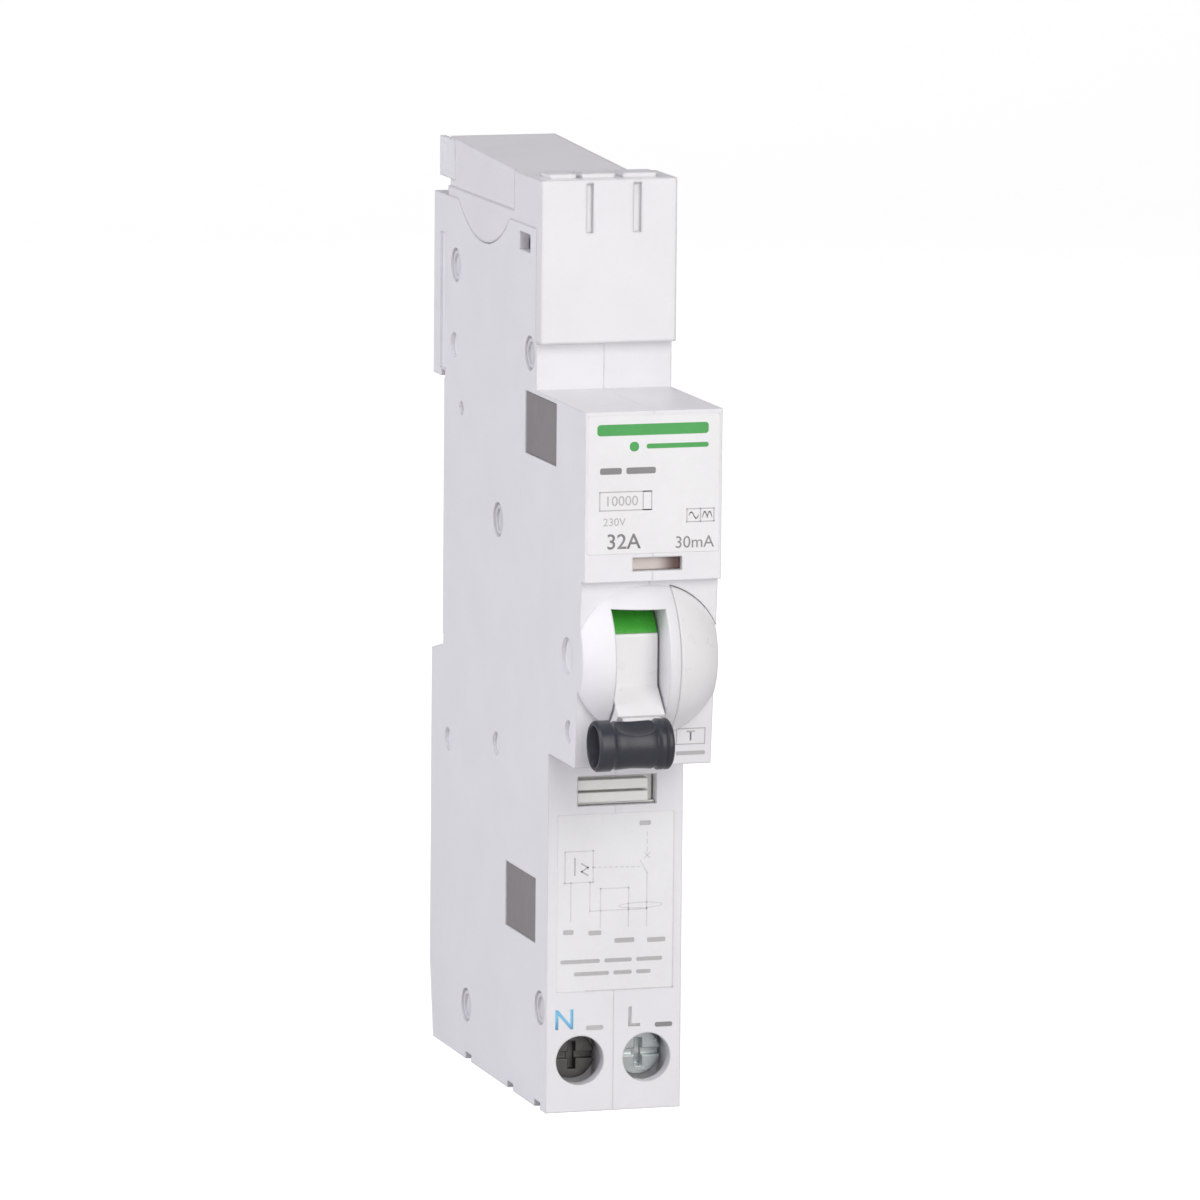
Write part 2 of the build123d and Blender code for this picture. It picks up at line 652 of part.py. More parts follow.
def top_cap():
    """Cap over the plug-on end, hollow from below."""
    body = profile(cap_outline(), -HALF, HALF)
    top = CAP_TOP + CAP_SLOPE + 2
    notch = HALF - CAP_NOTCH_WIDTH
    body -= block(notch, HALF + 1, CAP_REAR - 1, CAP_BLOCK_REAR, CASING_RISE + 2.0, top)
    inside_right = notch - CAP_WALL
    body -= block(
        -HALF + CAP_WALL,
        inside_right,
        CAP_REAR + CAP_WALL,
        CAP_FRONT - CAP_PLATE_THICKNESS,
        CASING_RISE - 1,
        CAP_TOP - CAP_WALL,
    )
    body += lobe_solid(0)
    ledge = block(-HALF - 1, -HALF + 0.3, CAP_REAR - 1, 31.0, CASING_RISE + 1.3, top)
    body -= ledge
    for left, right in ((-2.9, -2.1), (3.2, 4.2)):
        body -= block(left, right, CAP_FRONT - 0.6, CAP_FRONT + 1, CAP_TOP - 6.7, CAP_TOP - 0.5)
    for left, right in ((-7.4, -3.9), (-3.2, 1.2), (2.2, 6.6)):
        body += block(left, right, CAP_FRONT - 5.2, CAP_FRONT - 1.6, CAP_TOP - 0.2, CAP_TOP + 0.6)
    body -= rod_z(-2.4, CAP_FRONT - 3.2, 0.6, CAP_TOP - 0.6, CAP_TOP + 2)
    return body - busbar_shield()


def busbar_shield():
    """Thin insulating blade at the rear of the cap, on the left."""
    left = -HALF + 0.25
    return block(
        left,
        left + SHIELD_THICKNESS,
        -SHIELD_REAR,
        CAP_REAR + 2.0,
        CASING_RISE + 2.2,
        CAP_TOP + 1.0,
    )


# ---- windows, labels, vent --------------------------------------------------------
def window_plug(window):
    """Grey blanking plug in a side window, a little behind the side face."""
    f0, f1, z0, z1 = window
    gap = 0.1
    face = -HALF + 0.15
    return block(face, -HALF + WINDOW_PLUG_THICKNESS, f0 + gap, f1 - gap, z0 + gap, z1 - gap)


def label_plate(room, gap):
    """Thin plate at the floor of a label pocket."""
    box = room.bounding_box()
    floor = -box.max.Y
    return block(
        box.min.X + gap,
        box.max.X - gap,
        floor,
        floor + LABEL_THICKNESS,
        box.min.Z + gap,
        box.max.Z - gap,
    )


def marker_strip():
    """Small coloured strip in the slot under the rating label."""
    box = marker_room().bounding_box()
    floor = -box.max.Y
    return block(box.min.X + 0.1, box.max.X - 0.1, floor, floor + 0.4, box.min.Z + 0.1, box.max.Z - 0.1)


def vent_louvre():
    """Vent insert: a back plate with two bars."""
    box = vent_recess().bounding_box()
    left = box.min.X + 0.1
    right = box.max.X - 0.1
    top = box.max.Z
    back = LOWER_FRONT - WALL
    plate = block(left, right, back - 0.9, back - 0.1, box.min.Z + 0.1, top - 0.1)
    plate += block(left, right, back - 0.2, LOWER_FRONT - 0.8, box.min.Z + 0.1, box.min.Z + 0.3)
    for low in (top - 1.8, top - 3.4):
        plate += block(left, right - 1.0, back - 0.2, LOWER_FRONT - 0.3, low, low + 1.25)
    return plate



# ---- toggle -----------------------------------------------------------------------
def lever_tongue(grow):
    """End of the lever that the grip sits on, before it is turned to its place."""
    start = TOGGLE_FORWARD + LEVER_REACH - GRIP_RADIUS - 0.6
    tip = TOGGLE_FORWARD + LEVER_REACH + 1.0
    half = 1.2
    left = HUB_LEFT + 0.6
    right = HUB_RIGHT - 0.6
    return block(left, right, start - grow, tip, TOGGLE_HEIGHT - half, TOGGLE_HEIGHT + half)


def toggle_lever():
    """Drum with its lever arm and crank."""
    axle_f, axle_z = TOGGLE_FORWARD, TOGGLE_HEIGHT
    drum = rod_x(axle_f, axle_z, HUB_RADIUS, HUB_LEFT, HUB_RIGHT)
    drum -= block(-20, 20, axle_f + HUB_FLAT, axle_f + 20, axle_z - 20, axle_z + 20)
    crank_right = -1.5
    relief = block(crank_right, 20, axle_f + 2.4, axle_f + 20, axle_z - 20, axle_z + 20)
    drum -= about_toggle(relief, CRANK_ANGLE + 1)
    reach = LEVER_REACH - GRIP_RADIUS - 0.2
    arm_points = [
        (axle_f + 2.0, axle_z - LEVER_THICKNESS * 0.6),
        (axle_f + reach, axle_z - LEVER_THICKNESS / 2.6),
        (axle_f + reach, axle_z + LEVER_THICKNESS / 2.6),
        (axle_f + 2.0, axle_z + LEVER_THICKNESS * 0.6),
    ]
    arm = profile(arm_points, HUB_LEFT, HUB_RIGHT) + lever_tongue(0.4)
    drum += about_toggle(arm, -TOGGLE_OFF_ANGLE)
    drum -= rod_x(axle_f, axle_z, TOGGLE_AXLE_DIAMETER / 2 + FIT_GAP, -20, 20)
    crank_f, crank_z = crank_place()
    drum += rod_x(crank_f, crank_z, CRANK_PIN_DIAMETER / 2, crank_right - 0.3, -0.1)
    return drum - indicator_ring()


def crank_place():
    """Crank pin of the drum, at rest."""
    angle = math.radians(CRANK_ANGLE)
    f = TOGGLE_FORWARD + CRANK_RADIUS * math.cos(angle)
    return f, TOGGLE_HEIGHT + CRANK_RADIUS * math.sin(angle)


def indicator_ring():
    """Green strip set into the drum, seen through the slot when the toggle is off."""
    f, z = TOGGLE_FORWARD, TOGGLE_HEIGHT
    left = HUB_LEFT + 0.02
    ring = rod_x(f, z, HUB_RADIUS + 0.05, left, HUB_RIGHT - 0.02)
    ring -= rod_x(f, z, HUB_RADIUS - 0.6, left - 1, HUB_RIGHT + 1)
    above = block(-20, 20, f - 20, f + 20, z, z + 20)
    ring &= about_toggle(above, 28)
    ring &= about_toggle(above, 66 - 180)
    return ring


def toggle_grip():
    """Waisted finger grip with a collar near each end and a hollow left end."""
    f = TOGGLE_FORWARD + LEVER_REACH
    z = TOGGLE_HEIGHT
    waist = GRIP_RADIUS - 0.25
    half_points = [
        (GRIP_LEFT, 0),
        (GRIP_LEFT, GRIP_RADIUS - 0.3),
        (GRIP_LEFT + 0.3, GRIP_RADIUS),
        (GRIP_LEFT + 2.2, GRIP_RADIUS),
        (GRIP_LEFT + 2.6, waist),
        (GRIP_RIGHT - 2.6, waist),
        (GRIP_RIGHT - 2.2, GRIP_RADIUS),
        (GRIP_RIGHT - 0.3, GRIP_RADIUS),
        (GRIP_RIGHT, GRIP_RADIUS - 0.3),
        (GRIP_RIGHT, 0),
    ]
    outline = Polyline(*[(x, -f, z + r) for x, r in half_points], close=True)
    grip = revolve(make_face(outline), Axis((0, -f, z), (1, 0, 0)))
    grip -= rod_x(f, z, GRIP_RADIUS - 1.1, GRIP_LEFT - 1, GRIP_LEFT + 2.4)
    scoop = rod_x(f + 9.2, z + 0.8, 7.2, GRIP_LEFT + 3.0, GRIP_RIGHT - 2.8)
    grip = grip - scoop - lever_tongue(0)
    return about_toggle(grip, -TOGGLE_OFF_ANGLE)


def toggle_axle():
    """Steel axle held by the left side wall and the rib beside the drum."""
    left = -HALF + 0.7
    right = BUTTON_LEFT - BUTTON_GAP - 0.1
    return rod_x(TOGGLE_FORWARD, TOGGLE_HEIGHT, TOGGLE_AXLE_DIAMETER / 2, left, right)


def toggle_spring():
    """Torsion spring round the axle, left of the drum."""
    room_left = -INNER + 0.5
    room_right = HUB_LEFT - HUB_GAP - 0.2
    wire_diameter = 0.4
    turns = 2
    pitch = (room_right - room_left - wire_diameter) / turns
    spring = coil(TOGGLE_AXLE_DIAMETER / 2 + 0.75, wire_diameter, pitch, turns)
    start = room_left + wire_diameter / 2
    return Pos(start, -TOGGLE_FORWARD, TOGGLE_HEIGHT) * (Rot(0, 90, 0) * spring)


def toggle_link():
    """Flat link on the crank pin, its far end free near the contact arm."""
    crank_f, crank_z = crank_place()
    left = -1.3
    right = left + LINK_THICKNESS
    bar = block(left, right, crank_f - LINK_LENGTH, crank_f, crank_z - 1.2, crank_z + 1.2)
    bar += rod_x(crank_f, crank_z, 1.2, left, right)
    bar += rod_x(crank_f - LINK_LENGTH, crank_z, 1.2, left, right)
    bar -= rod_x(crank_f, crank_z, CRANK_PIN_DIAMETER / 2 + THREAD_GAP, -20, 20)
    bar -= rod_x(crank_f - LINK_LENGTH, crank_z, CRANK_PIN_DIAMETER / 2, -20, 20)
    pivot = Axis((0, -crank_f, crank_z), (-1, 0, 0))
    return bar.rotate(pivot, 11)


# ---- test button ------------------------------------------------------------------
def test_button():
    """Right part of the dome with the stem behind it."""
    floor = nose_face(TOGGLE_HEIGHT) - BUTTON_POCKET + BUTTON_TRAVEL + SLIDE_GAP
    shape = dome() & block(BUTTON_LEFT, HALF - 0.1, floor, 100, -100, 100)
    right = INNER - SLIDE_GAP
    stem_rear = 50.0
    return shape + block(
        BUTTON_LEFT, right, stem_rear, floor + 0.5, TOGGLE_HEIGHT - 4.5, TOGGLE_HEIGHT + 4.5
    )


def test_spring():
    """Compression spring behind the test button."""
    rear = 45.2
    front = 50.0
    wire_diameter = 0.45
    turns = 4
    pitch = (front - rear - wire_diameter - 0.1) / turns
    spring = coil(1.5, wire_diameter, pitch, turns)
    x = (BUTTON_LEFT + INNER) / 2
    place = Pos(x, -(rear + wire_diameter / 2 + 0.05), TOGGLE_HEIGHT)
    return place * (Rot(90, 0, 0) * spring)


def test_contact_strip():
    """Spring strip beside the button's stem that closes the test circuit."""
    x = INNER - 0.35
    low = TOGGLE_HEIGHT - 9.0
    high = TOGGLE_HEIGHT - 6.0
    return block(x - 0.3, x, 38.0, 46.0, low, high) + block(x - 2.6, x, 45.7, 46.0, low, high)


# ---- terminals --------------------------------------------------------------------
def terminal_screw(x):
    """Combined-slot clamp screw."""
    z = TERMINAL_HEIGHT
    screw = rod_f(x, z, SCREW_HEAD_DIAMETER / 2, HEAD_REAR, HEAD_FRONT)
    screw += rod_f(x, z, SCREW_SHANK_DIAMETER / 2, SHANK_TIP, HEAD_REAR + 0.2)
    half = SCREW_HEAD_DIAMETER / 2
    screw -= block(x - half, x + half, HEAD_FRONT - 0.9, HEAD_FRONT + 1, z - 0.45, z + 0.45)
    screw -= block(x - 0.5, x + 0.5, HEAD_FRONT - 1.3, HEAD_FRONT + 1, z - 1.8, z + 1.8)
    return screw


def terminal_cage(x):
    """Box clamp: its threaded front wall rides on the screw."""
    z0 = TERMINAL_HEIGHT - CAGE_HEIGHT / 2
    z1 = TERMINAL_HEIGHT + CAGE_HEIGHT / 2
    half = CAGE_WIDTH / 2
    inner = half - CAGE_SIDE
    front = CAGE_FRONT_FACE
    cage = block(x - half, x + half, CAGE_REAR_INNER - CAGE_REAR, front, z0, z1)
    cage -= block(x - inner, x + inner, CAGE_REAR_INNER, front - CAGE_FRONT, z0 - 1, z1 + 1)
    return cage - rod_f(x, TERMINAL_HEIGHT, SCREW_SHANK_DIAMETER / 2 + THREAD_GAP, 0, 60)


def conductor_plate(x):
    """Fixed copper plate inside the cage that the wire is clamped against."""
    half = CAGE_WIDTH / 2 - CAGE_SIDE - SMALL_GAP
    low = BOTTOM + WALL + SLIDE_GAP
    high = TERMINAL_HEIGHT + CAGE_HEIGHT / 2 + 2.2
    return block(x - half, x + half, PLATE_REAR, PLATE_FRONT, low, high)


def line_conductor():
    """From the line plate through the toroid to the bimetal's foot."""
    x = TERMINAL_SIDES["l"]
    plate_top = TERMINAL_HEIGHT + CAGE_HEIGHT / 2 + 1.0
    route = [
        (x, PLATE_REAR + 0.8, plate_top),
        (x, PLATE_REAR + 0.8, plate_top + 2.6),
        (1.8, TOROID_FORWARD, TOROID_BASE - 1.6),
        (1.8, TOROID_FORWARD, TOROID_TOP + 3.3),
        (3.5, 31.4, TOROID_TOP + 3.3),
        (3.5, bimetal_front() + 0.05, TOROID_TOP + 3.3),
    ]
    return conductor_plate(x) + wire(route, CONDUCTOR_DIAMETER, 0.9)


def neutral_conductor():
    """From the neutral plate through the toroid and down to the lead outlet."""
    x = TERMINAL_SIDES["n"]
    plate_top = TERMINAL_HEIGHT + CAGE_HEIGHT / 2 + 1.0
    drop = CAGE_REAR_INNER - CAGE_REAR - 1.6
    x0, x1, f0, f1 = grommet_sides()
    outlet = f0 + 2.4
    route = [
        (x, PLATE_REAR + 0.8, plate_top),
        (x, PLATE_REAR + 0.8, plate_top + 2.6),
        (-1.8, TOROID_FORWARD, TOROID_BASE - 1.6),
        (-1.8, TOROID_FORWARD, TOROID_TOP + 1.9),
        (-4.2, drop, TOROID_TOP + 1.9),
        (-4.2, drop, TERMINAL_HEIGHT + 8.0),
        ((x0 + x1) / 2, outlet, TERMINAL_HEIGHT + 2.5),
        ((x0 + x1) / 2, outlet, BOTTOM + 4.4),
    ]
    return conductor_plate(x) + wire(route, CONDUCTOR_DIAMETER, 0.9)


def lead_grommet():
    """Oblong grommet with one hole for the neutral lead and one for the earth lead."""
    x0, x1, f0, f1 = grommet_sides()
    middle = (x0 + x1) / 2
    body = block(x0, x1, f0, f1, BOTTOM + 0.1, BOTTOM + 3.2)
    body += block(x0 - 0.5, x1 + 0.5, f0 - 0.5, f1 + 0.5, BOTTOM + 0.1, BOTTOM + 0.9)
    body -= rod_z(middle, f0 + 2.4, 1.7, BOTTOM - 1, BOTTOM + 4)
    return body - rod_z(middle, f1 - 1.8, 1.1, BOTTOM - 1, BOTTOM + 4)


# ---- contacts ---------------------------------------------------------------------
def about_arm(shape, degrees):
    """Turn a shape about the contact arm's pin; positive closes the contact."""
    return shape.rotate(Axis((0, -ARM_FORWARD, ARM_HEIGHT), (-1, 0, 0)), degrees)


def contact_arm():
    """Moving contact arm, drawn closed and turned back to the open rest position."""
    f, z = ARM_FORWARD, ARM_HEIGHT
    tip = FIXED_TIP_FORWARD + CONTACT_GAP + TIP_THICKNESS
    points = [
        (f - 2.2, z - 6.0),
        (f + 2.2, z - 6.0),
        (f + 2.2, z + 2.6),
        (tip + 4.0, z + 14.6),
        (tip, z + 14.6),
        (tip, z + 9.6),
        (f - 2.2, z + 1.2),
    ]
    right = ARM_LEFT + ARM_THICKNESS
    arm = profile(points, ARM_LEFT, right)
    arm -= rod_x(f, z, ARM_PIN_DIAMETER / 2 + FIT_GAP, -20, 20)
    return about_arm(arm, -ARM_OPEN_ANGLE)


def moving_contact_tip():
    """Silver tip on the arm's rear face."""
    rear = FIXED_TIP_FORWARD + CONTACT_GAP
    middle = ARM_LEFT + ARM_THICKNESS / 2
    tip = rod_f(middle, ARM_HEIGHT + 11.9, 1.5, rear, rear + TIP_THICKNESS)
    return about_arm(tip, -ARM_OPEN_ANGLE)


def contact_arm_pin():
    """Steel pin of the contact arm, held in the two bosses."""
    return rod_x(ARM_FORWARD, ARM_HEIGHT, ARM_PIN_DIAMETER / 2, -INNER + 1.0, INNER - 1.0)


def fixed_contact():
    """Copper bar with a silver tip facing the arm."""
    middle = ARM_LEFT + ARM_THICKNESS / 2
    rear = FIXED_TIP_FORWARD - TIP_THICKNESS - 1.4
    bar = block(middle - 2.5, middle + 2.5, rear, rear + 1.4, COIL_HEIGHT + 7.4, ARM_HEIGHT + 15)
    return bar + rod_f(middle, ARM_HEIGHT + 11.9, 1.5, rear + 1.2, FIXED_TIP_FORWARD)


def arc_chute_plates():
    """Stack of steel splitter plates."""
    plates = []
    rear = 4.2
    front = 18.6
    for index in range(9):
        z = -3.6 + 2.1 * index
        plate = block(-5.9, 5.9, rear, front, z, z + 1.0)
        plate -= block(-1.6, 1.6, front - 4.0, front + 1, z - 1, z + 2)
        plates.append(plate)
    return Compound(plates)


def arc_chute_cheeks():
    """Fibre cheeks either side of the splitter plates."""
    cheeks = []
    for side in (-1, 1):
        cheeks.append(side_block(side, 5.95, 6.8, 3.6, 19.2, -4.4, 15.0))
    return Compound(cheeks)


def jaw_base():
    """Lowest height of the busbar jaw."""
    return RECESS_TOP + WALL + 2.8


def line_in_strip():
    """Flat strip from the busbar jaw down behind the arc chute to the coil."""
    low = COIL_HEIGHT + 7.6
    high = jaw_base() - 0.05
    strip = block(-2.2, 2.2, WALL + 0.5, WALL + 1.4, low, high - 1.0)
    return strip + block(-2.2, 2.2, WALL + 0.5, 6.0, high - 1.0, high)


def busbar_jaw():
    """Copper jaw that grips the busbar's blade from both sides."""
    z0 = jaw_base()
    z1 = z0 + 6.4
    rear = REAR + WALL + 0.4
    front = 12.0
    jaw = block(-1.8, 1.8, rear, front, z0, z1)
    return jaw - block(-1.0, 1.0, rear - 1, front - 0.8, z0 - 1, z1 + 1)


def jaw_clip():
    """Steel clip that presses the jaw's leaves together."""
    z0 = jaw_base() + 1.6
    clip = block(-2.4, 2.4, 1.0, 12.7, z0, z0 + 3.4)
    return clip - block(-1.85, 1.85, 0.0, 12.1, z0 - 1, z0 + 5)


def contact_braid():
    """Flexible braid from the bimetal's head to the arm's tail."""
    route = [
        (4.5, bimetal_front() + 0.05, COIL_HEIGHT - 2.8),
        (4.5, bimetal_front() + 2.2, COIL_HEIGHT - 2.8),
        (4.5, ARM_FORWARD - 2.0, ARM_HEIGHT - 7.6),
        (3.1, ARM_FORWARD + 1.8, ARM_HEIGHT - 5.2),
    ]
    return wire(route, 1.3, 1.0)


# ---- magnetic, thermal and leakage trips ------------------------------------------
def coil_bobbin():
    """Plastic bobbin with a flange at each end."""
    z = COIL_HEIGHT
    rear = COIL_FORWARD - 0.8
    front = YOKE_FRONT - 0.6
    bobbin = rod_f(0, z, 3.05, rear, front)
    bobbin += rod_f(0, z, 5.6, rear, rear + 0.8)
    bobbin += rod_f(0, z, 5.6, front - 0.8, front)
    return bobbin - rod_f(0, z, 2.6, rear - 1, front + 1)


def trip_coil():
    """Copper winding of the magnetic trip."""
    spring = coil(COIL_RADIUS, COIL_WIRE, COIL_PITCH, COIL_TURNS)
    start = COIL_FORWARD + COIL_WIRE / 2 + 0.2
    return Pos(0, -start, COIL_HEIGHT) * (Rot(90, 0, 0) * spring)


def solenoid_yoke():
    """Steel frame round the coil, open at both sides."""
    rear = COIL_FORWARD - 2.0
    z0 = COIL_HEIGHT - 7.0
    z1 = COIL_HEIGHT + 7.0
    yoke = block(-5.8, 5.8, rear, YOKE_FRONT + 0.6, z0, z1)
    yoke -= block(-6, 6, rear + 1.1, YOKE_FRONT - 0.5, z0 + 1.1, z1 - 1.1)
    return yoke - rod_f(0, COIL_HEIGHT, 1.6, YOKE_FRONT - 1, YOKE_FRONT + 1)


def solenoid_plunger():
    """Iron plunger with the pin that strikes the trip lever."""
    z = COIL_HEIGHT
    head_rear = COIL_FORWARD + 1.0
    head_front = YOKE_FRONT - 6.4
    pin_front = TRIP_FORWARD - TRIP_THICKNESS / 2 - 0.4
    return rod_f(0, z, 2.4, head_rear, head_front) + rod_f(0, z, 0.8, head_front - 0.2, pin_front)


def plunger_spring():
    """Return spring round the plunger's pin."""
    rear = YOKE_FRONT - 6.3
    length = 5.5
    wire_diameter = 0.4
    turns = 5
    pitch = (length - wire_diameter) / turns
    spring = coil(1.5, wire_diameter, pitch, turns)
    return Pos(0, -(rear + wire_diameter / 2), COIL_HEIGHT) * (Rot(90, 0, 0) * spring)


def trip_lever():
    """Lever struck by the plunger, the relay pin or the bimetal."""
    rear = TRIP_FORWARD - TRIP_THICKNESS / 2
    front = TRIP_FORWARD + TRIP_THICKNESS / 2
    knee = TRIP_HEIGHT + 6.0
    lever = block(-3.2, -0.6, rear, front, TRIP_HEIGHT, knee)
    lever += rod_x(TRIP_FORWARD, TRIP_HEIGHT, 1.7, -3.2, -0.6)
    lever += block(-3.2, 3.2, rear, front, knee, TRIP_TOP)
    return lever - rod_x(TRIP_FORWARD, TRIP_HEIGHT, TRIP_PIN_DIAMETER / 2 + FIT_GAP, -20, 20)


def trip_lever_pin():
    """Steel pin of the trip lever."""
    return rod_x(TRIP_FORWARD, TRIP_HEIGHT, TRIP_PIN_DIAMETER / 2, -INNER + 0.8, INNER - 0.8)


def bimetal_front():
    """Front face of the cold bimetal, behind the trip lever."""
    return TRIP_FORWARD - TRIP_THICKNESS / 2 - 2.4


def bimetal_strip():
    """Bimetal strip that bends against the trip lever when it is hot."""
    front = bimetal_front()
    return block(1.6, 5.2, front - 0.8, front, TOROID_TOP + 2.2, COIL_HEIGHT - 1.8)


def bimetal_bracket():
    """Steel bracket at the bimetal's foot, with the calibration screw's hole."""
    front = bimetal_front() - 0.8
    bracket = block(1.6, 5.35, front - 1.2, front, TRIP_HEIGHT - 1.6, TRIP_HEIGHT + 2.4)
    return bracket - rod_f(3.4, TRIP_HEIGHT + 0.4, 1.25, 0, 60)


def calibration_screw():
    """Small set screw in the bracket, fixed at the factory."""
    tip = bimetal_front() - 0.85
    z = TRIP_HEIGHT + 0.4
    screw = rod_f(3.4, z, 1.2, tip - 3.6, tip)
    return screw - block(2.0, 4.8, tip - 4.0, tip - 3.0, z - 0.25, z + 0.25)


def toroid_core():
    """Core of the residual-current transformer."""
    outer = TOROID_RADIUS - 0.75
    inner = TOROID_BORE + 0.75
    z0 = TOROID_BASE + 0.75
    z1 = TOROID_TOP - 0.75
    core = rod_z(0, TOROID_FORWARD, outer, z0, z1)
    return core - rod_z(0, TOROID_FORWARD, inner, z0 - 1, z1 + 1)


def toroid_winding():
    """Loops of sense wire round the core."""
    loops = []
    wire_diameter = 0.6
    count = 16
    mid = (TOROID_BORE + TOROID_RADIUS) / 2
    width = TOROID_RADIUS - TOROID_BORE - 0.05
    height = TOROID_HEIGHT - 0.05
    for index in range(count):
        loop = Box(width, wire_diameter, height)
        hole_width = width - 2 * wire_diameter - 0.1
        loop -= Box(hole_width, wire_diameter + 1, height - 2 * wire_diameter - 0.1)
        loop = Pos(mid, 0, (TOROID_BASE + TOROID_TOP) / 2) * loop
        turned = Rot(0, 0, (index + 0.5) * 360 / count) * loop
        loops.append(Pos(0, -TOROID_FORWARD, 0) * turned)
    return Compound(loops)


def circuit_board():
    """Electronics board along the left side."""
    return block(-INNER + 0.6, -INNER + 1.8, 0.6, 22.0, BOTTOM + 14.6, TRIP_HEIGHT + 10.5)


def board_components():
    """Small parts on the board."""
    face = -INNER + 1.85
    top = TRIP_HEIGHT + 10.5
    capacitor = rod_x(5.0, top - 16.0, 3.0, face, face + 7.5)
    varistor = rod_x(14.0, top - 17.0, 3.6, face, face + 2.6)
    chip = block(face, face + 1.2, 9.0, 17.0, top - 27.0, top - 22.6)
    parts = [capacitor, varistor, chip]
    for index in range(4):
        f = 1.2 + 1.6 * index
        parts.append(block(face, face + 1.0, f, f + 1.1, top - 3.0, top - 1.0))
    return Compound(parts)


def trip_relay():
    """Sealed leakage trip relay on the board."""
    z = TRIP_HEIGHT + 5.5
    face = -INNER + 1.85
    relay = block(face, face + 7.0, 8.0, 19.6, z - 4.4, z + 3.6)
    return relay - rod_f(-2.0, z, 0.9, 12.0, 21.0)


def relay_pin():
    """Pin that the relay throws against the trip lever."""
    front = TRIP_FORWARD - TRIP_THICKNESS / 2 - RELAY_PIN_TRAVEL - SMALL_GAP
    return rod_f(-2.0, TRIP_HEIGHT + 5.5, 0.7, 13.5, front)


# ---- rail latch -------------------------------------------------------------------
def rail_latch():
    """Sliding latch: its nose grips the rail's lower edge."""
    half = LATCH_WIDTH / 2
    face_half = LATCH_FACE_WIDTH / 2
    base = LATCH_TIP - LATCH_LENGTH
    shoulder = RECESS_BOTTOM - 0.3
    latch = block(-half, half, REAR + 1.2, REAR + 2.2, base, shoulder)
    latch += block(-face_half, face_half, REAR + 0.15, REAR + 1.3, base, shoulder)
    nose_points = [
        (REAR + 0.3, shoulder - 0.2),
        (REAR + 2.2, shoulder - 0.2),
        (REAR + 2.2, RECESS_BOTTOM + SLIDE_GAP),
        (-RAIL_LIP, RECESS_BOTTOM + SLIDE_GAP),
        (-RAIL_LIP, LATCH_TIP),
        (-RAIL_LIP - 1.0, LATCH_TIP),
        (REAR + 0.3, RECESS_BOTTOM + 0.6),
    ]
    latch += profile(nose_points, -face_half, face_half)
    pry = base + 2.0
    return latch - block(-1.6, 1.6, REAR - 1, REAR + 0.9, pry, pry + 1.6)


def latch_spring():
    """Compression spring under the latch."""
    base = LATCH_TIP - LATCH_LENGTH
    wire_diameter = 0.35
    turns = 7
    length = LATCH_SPRING_LENGTH - 0.1
    pitch = (length - wire_diameter) / turns
    spring = coil(0.7, wire_diameter, pitch, turns)
    start = base - LATCH_SPRING_LENGTH + wire_diameter / 2 + 0.05
    return Pos(0, -(REAR + 1.35), start) * spring


save("left_casing", left_casing())
save("right_casing", right_casing())
save("casing_rivets", casing_rivets())
save("top_cap", top_cap())
save("busbar_shield", busbar_shield())
save("upper_window_plug", window_plug(UPPER_WINDOW))
save("lower_window_plug", window_plug(LOWER_WINDOW))
save("rating_label", label_plate(rating_label_room(), 0.1))
save("wiring_label", label_plate(wiring_label_room(), 0.1))
save("marker_strip", marker_strip())
save("vent_louvre", vent_louvre())
save("toggle_lever", toggle_lever())
save("indicator_strip", indicator_ring())
save("toggle_grip", toggle_grip())
save("toggle_axle", toggle_axle())
save("toggle_spring", toggle_spring())
save("toggle_link", toggle_link())
save("test_button", test_button())
save("test_spring", test_spring())
save("test_contact_strip", test_contact_strip())
for letter, place in TERMINAL_SIDES.items():
    save(f"terminal_screw_{letter}", terminal_screw(place))
    save(f"terminal_cage_{letter}", terminal_cage(place))
save("line_conductor", line_conductor())
save("neutral_conductor", neutral_conductor())
save("lead_grommet", lead_grommet())
save("contact_arm", contact_arm())
save("moving_contact_tip", moving_contact_tip())
save("contact_arm_pin", contact_arm_pin())
save("fixed_contact", fixed_contact())
save("arc_chute_plates", arc_chute_plates())
save("arc_chute_cheeks", arc_chute_cheeks())
save("line_in_strip", line_in_strip())
save("busbar_jaw", busbar_jaw())
save("jaw_clip", jaw_clip())
save("contact_braid", contact_braid())
save("coil_bobbin", coil_bobbin())
save("trip_coil", trip_coil())
save("solenoid_yoke", solenoid_yoke())
save("solenoid_plunger", solenoid_plunger())
save("plunger_spring", plunger_spring())
save("trip_lever", trip_lever())
save("trip_lever_pin", trip_lever_pin())
save("bimetal_strip", bimetal_strip())
save("bimetal_bracket", bimetal_bracket())
save("calibration_screw", calibration_screw())
save("toroid_core", toroid_core())
save("toroid_winding", toroid_winding())
save("circuit_board", circuit_board())
save("board_components", board_components())
save("trip_relay", trip_relay())
save("relay_pin", relay_pin())
save("rail_latch", rail_latch())
save("latch_spring", latch_spring())
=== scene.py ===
"""Studio scene of a single-module residual current device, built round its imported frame."""

import json
import logging
import math
from collections.abc import Sequence
from dataclasses import dataclass, field
from enum import Enum

import bpy
from mathutils import Matrix, Vector

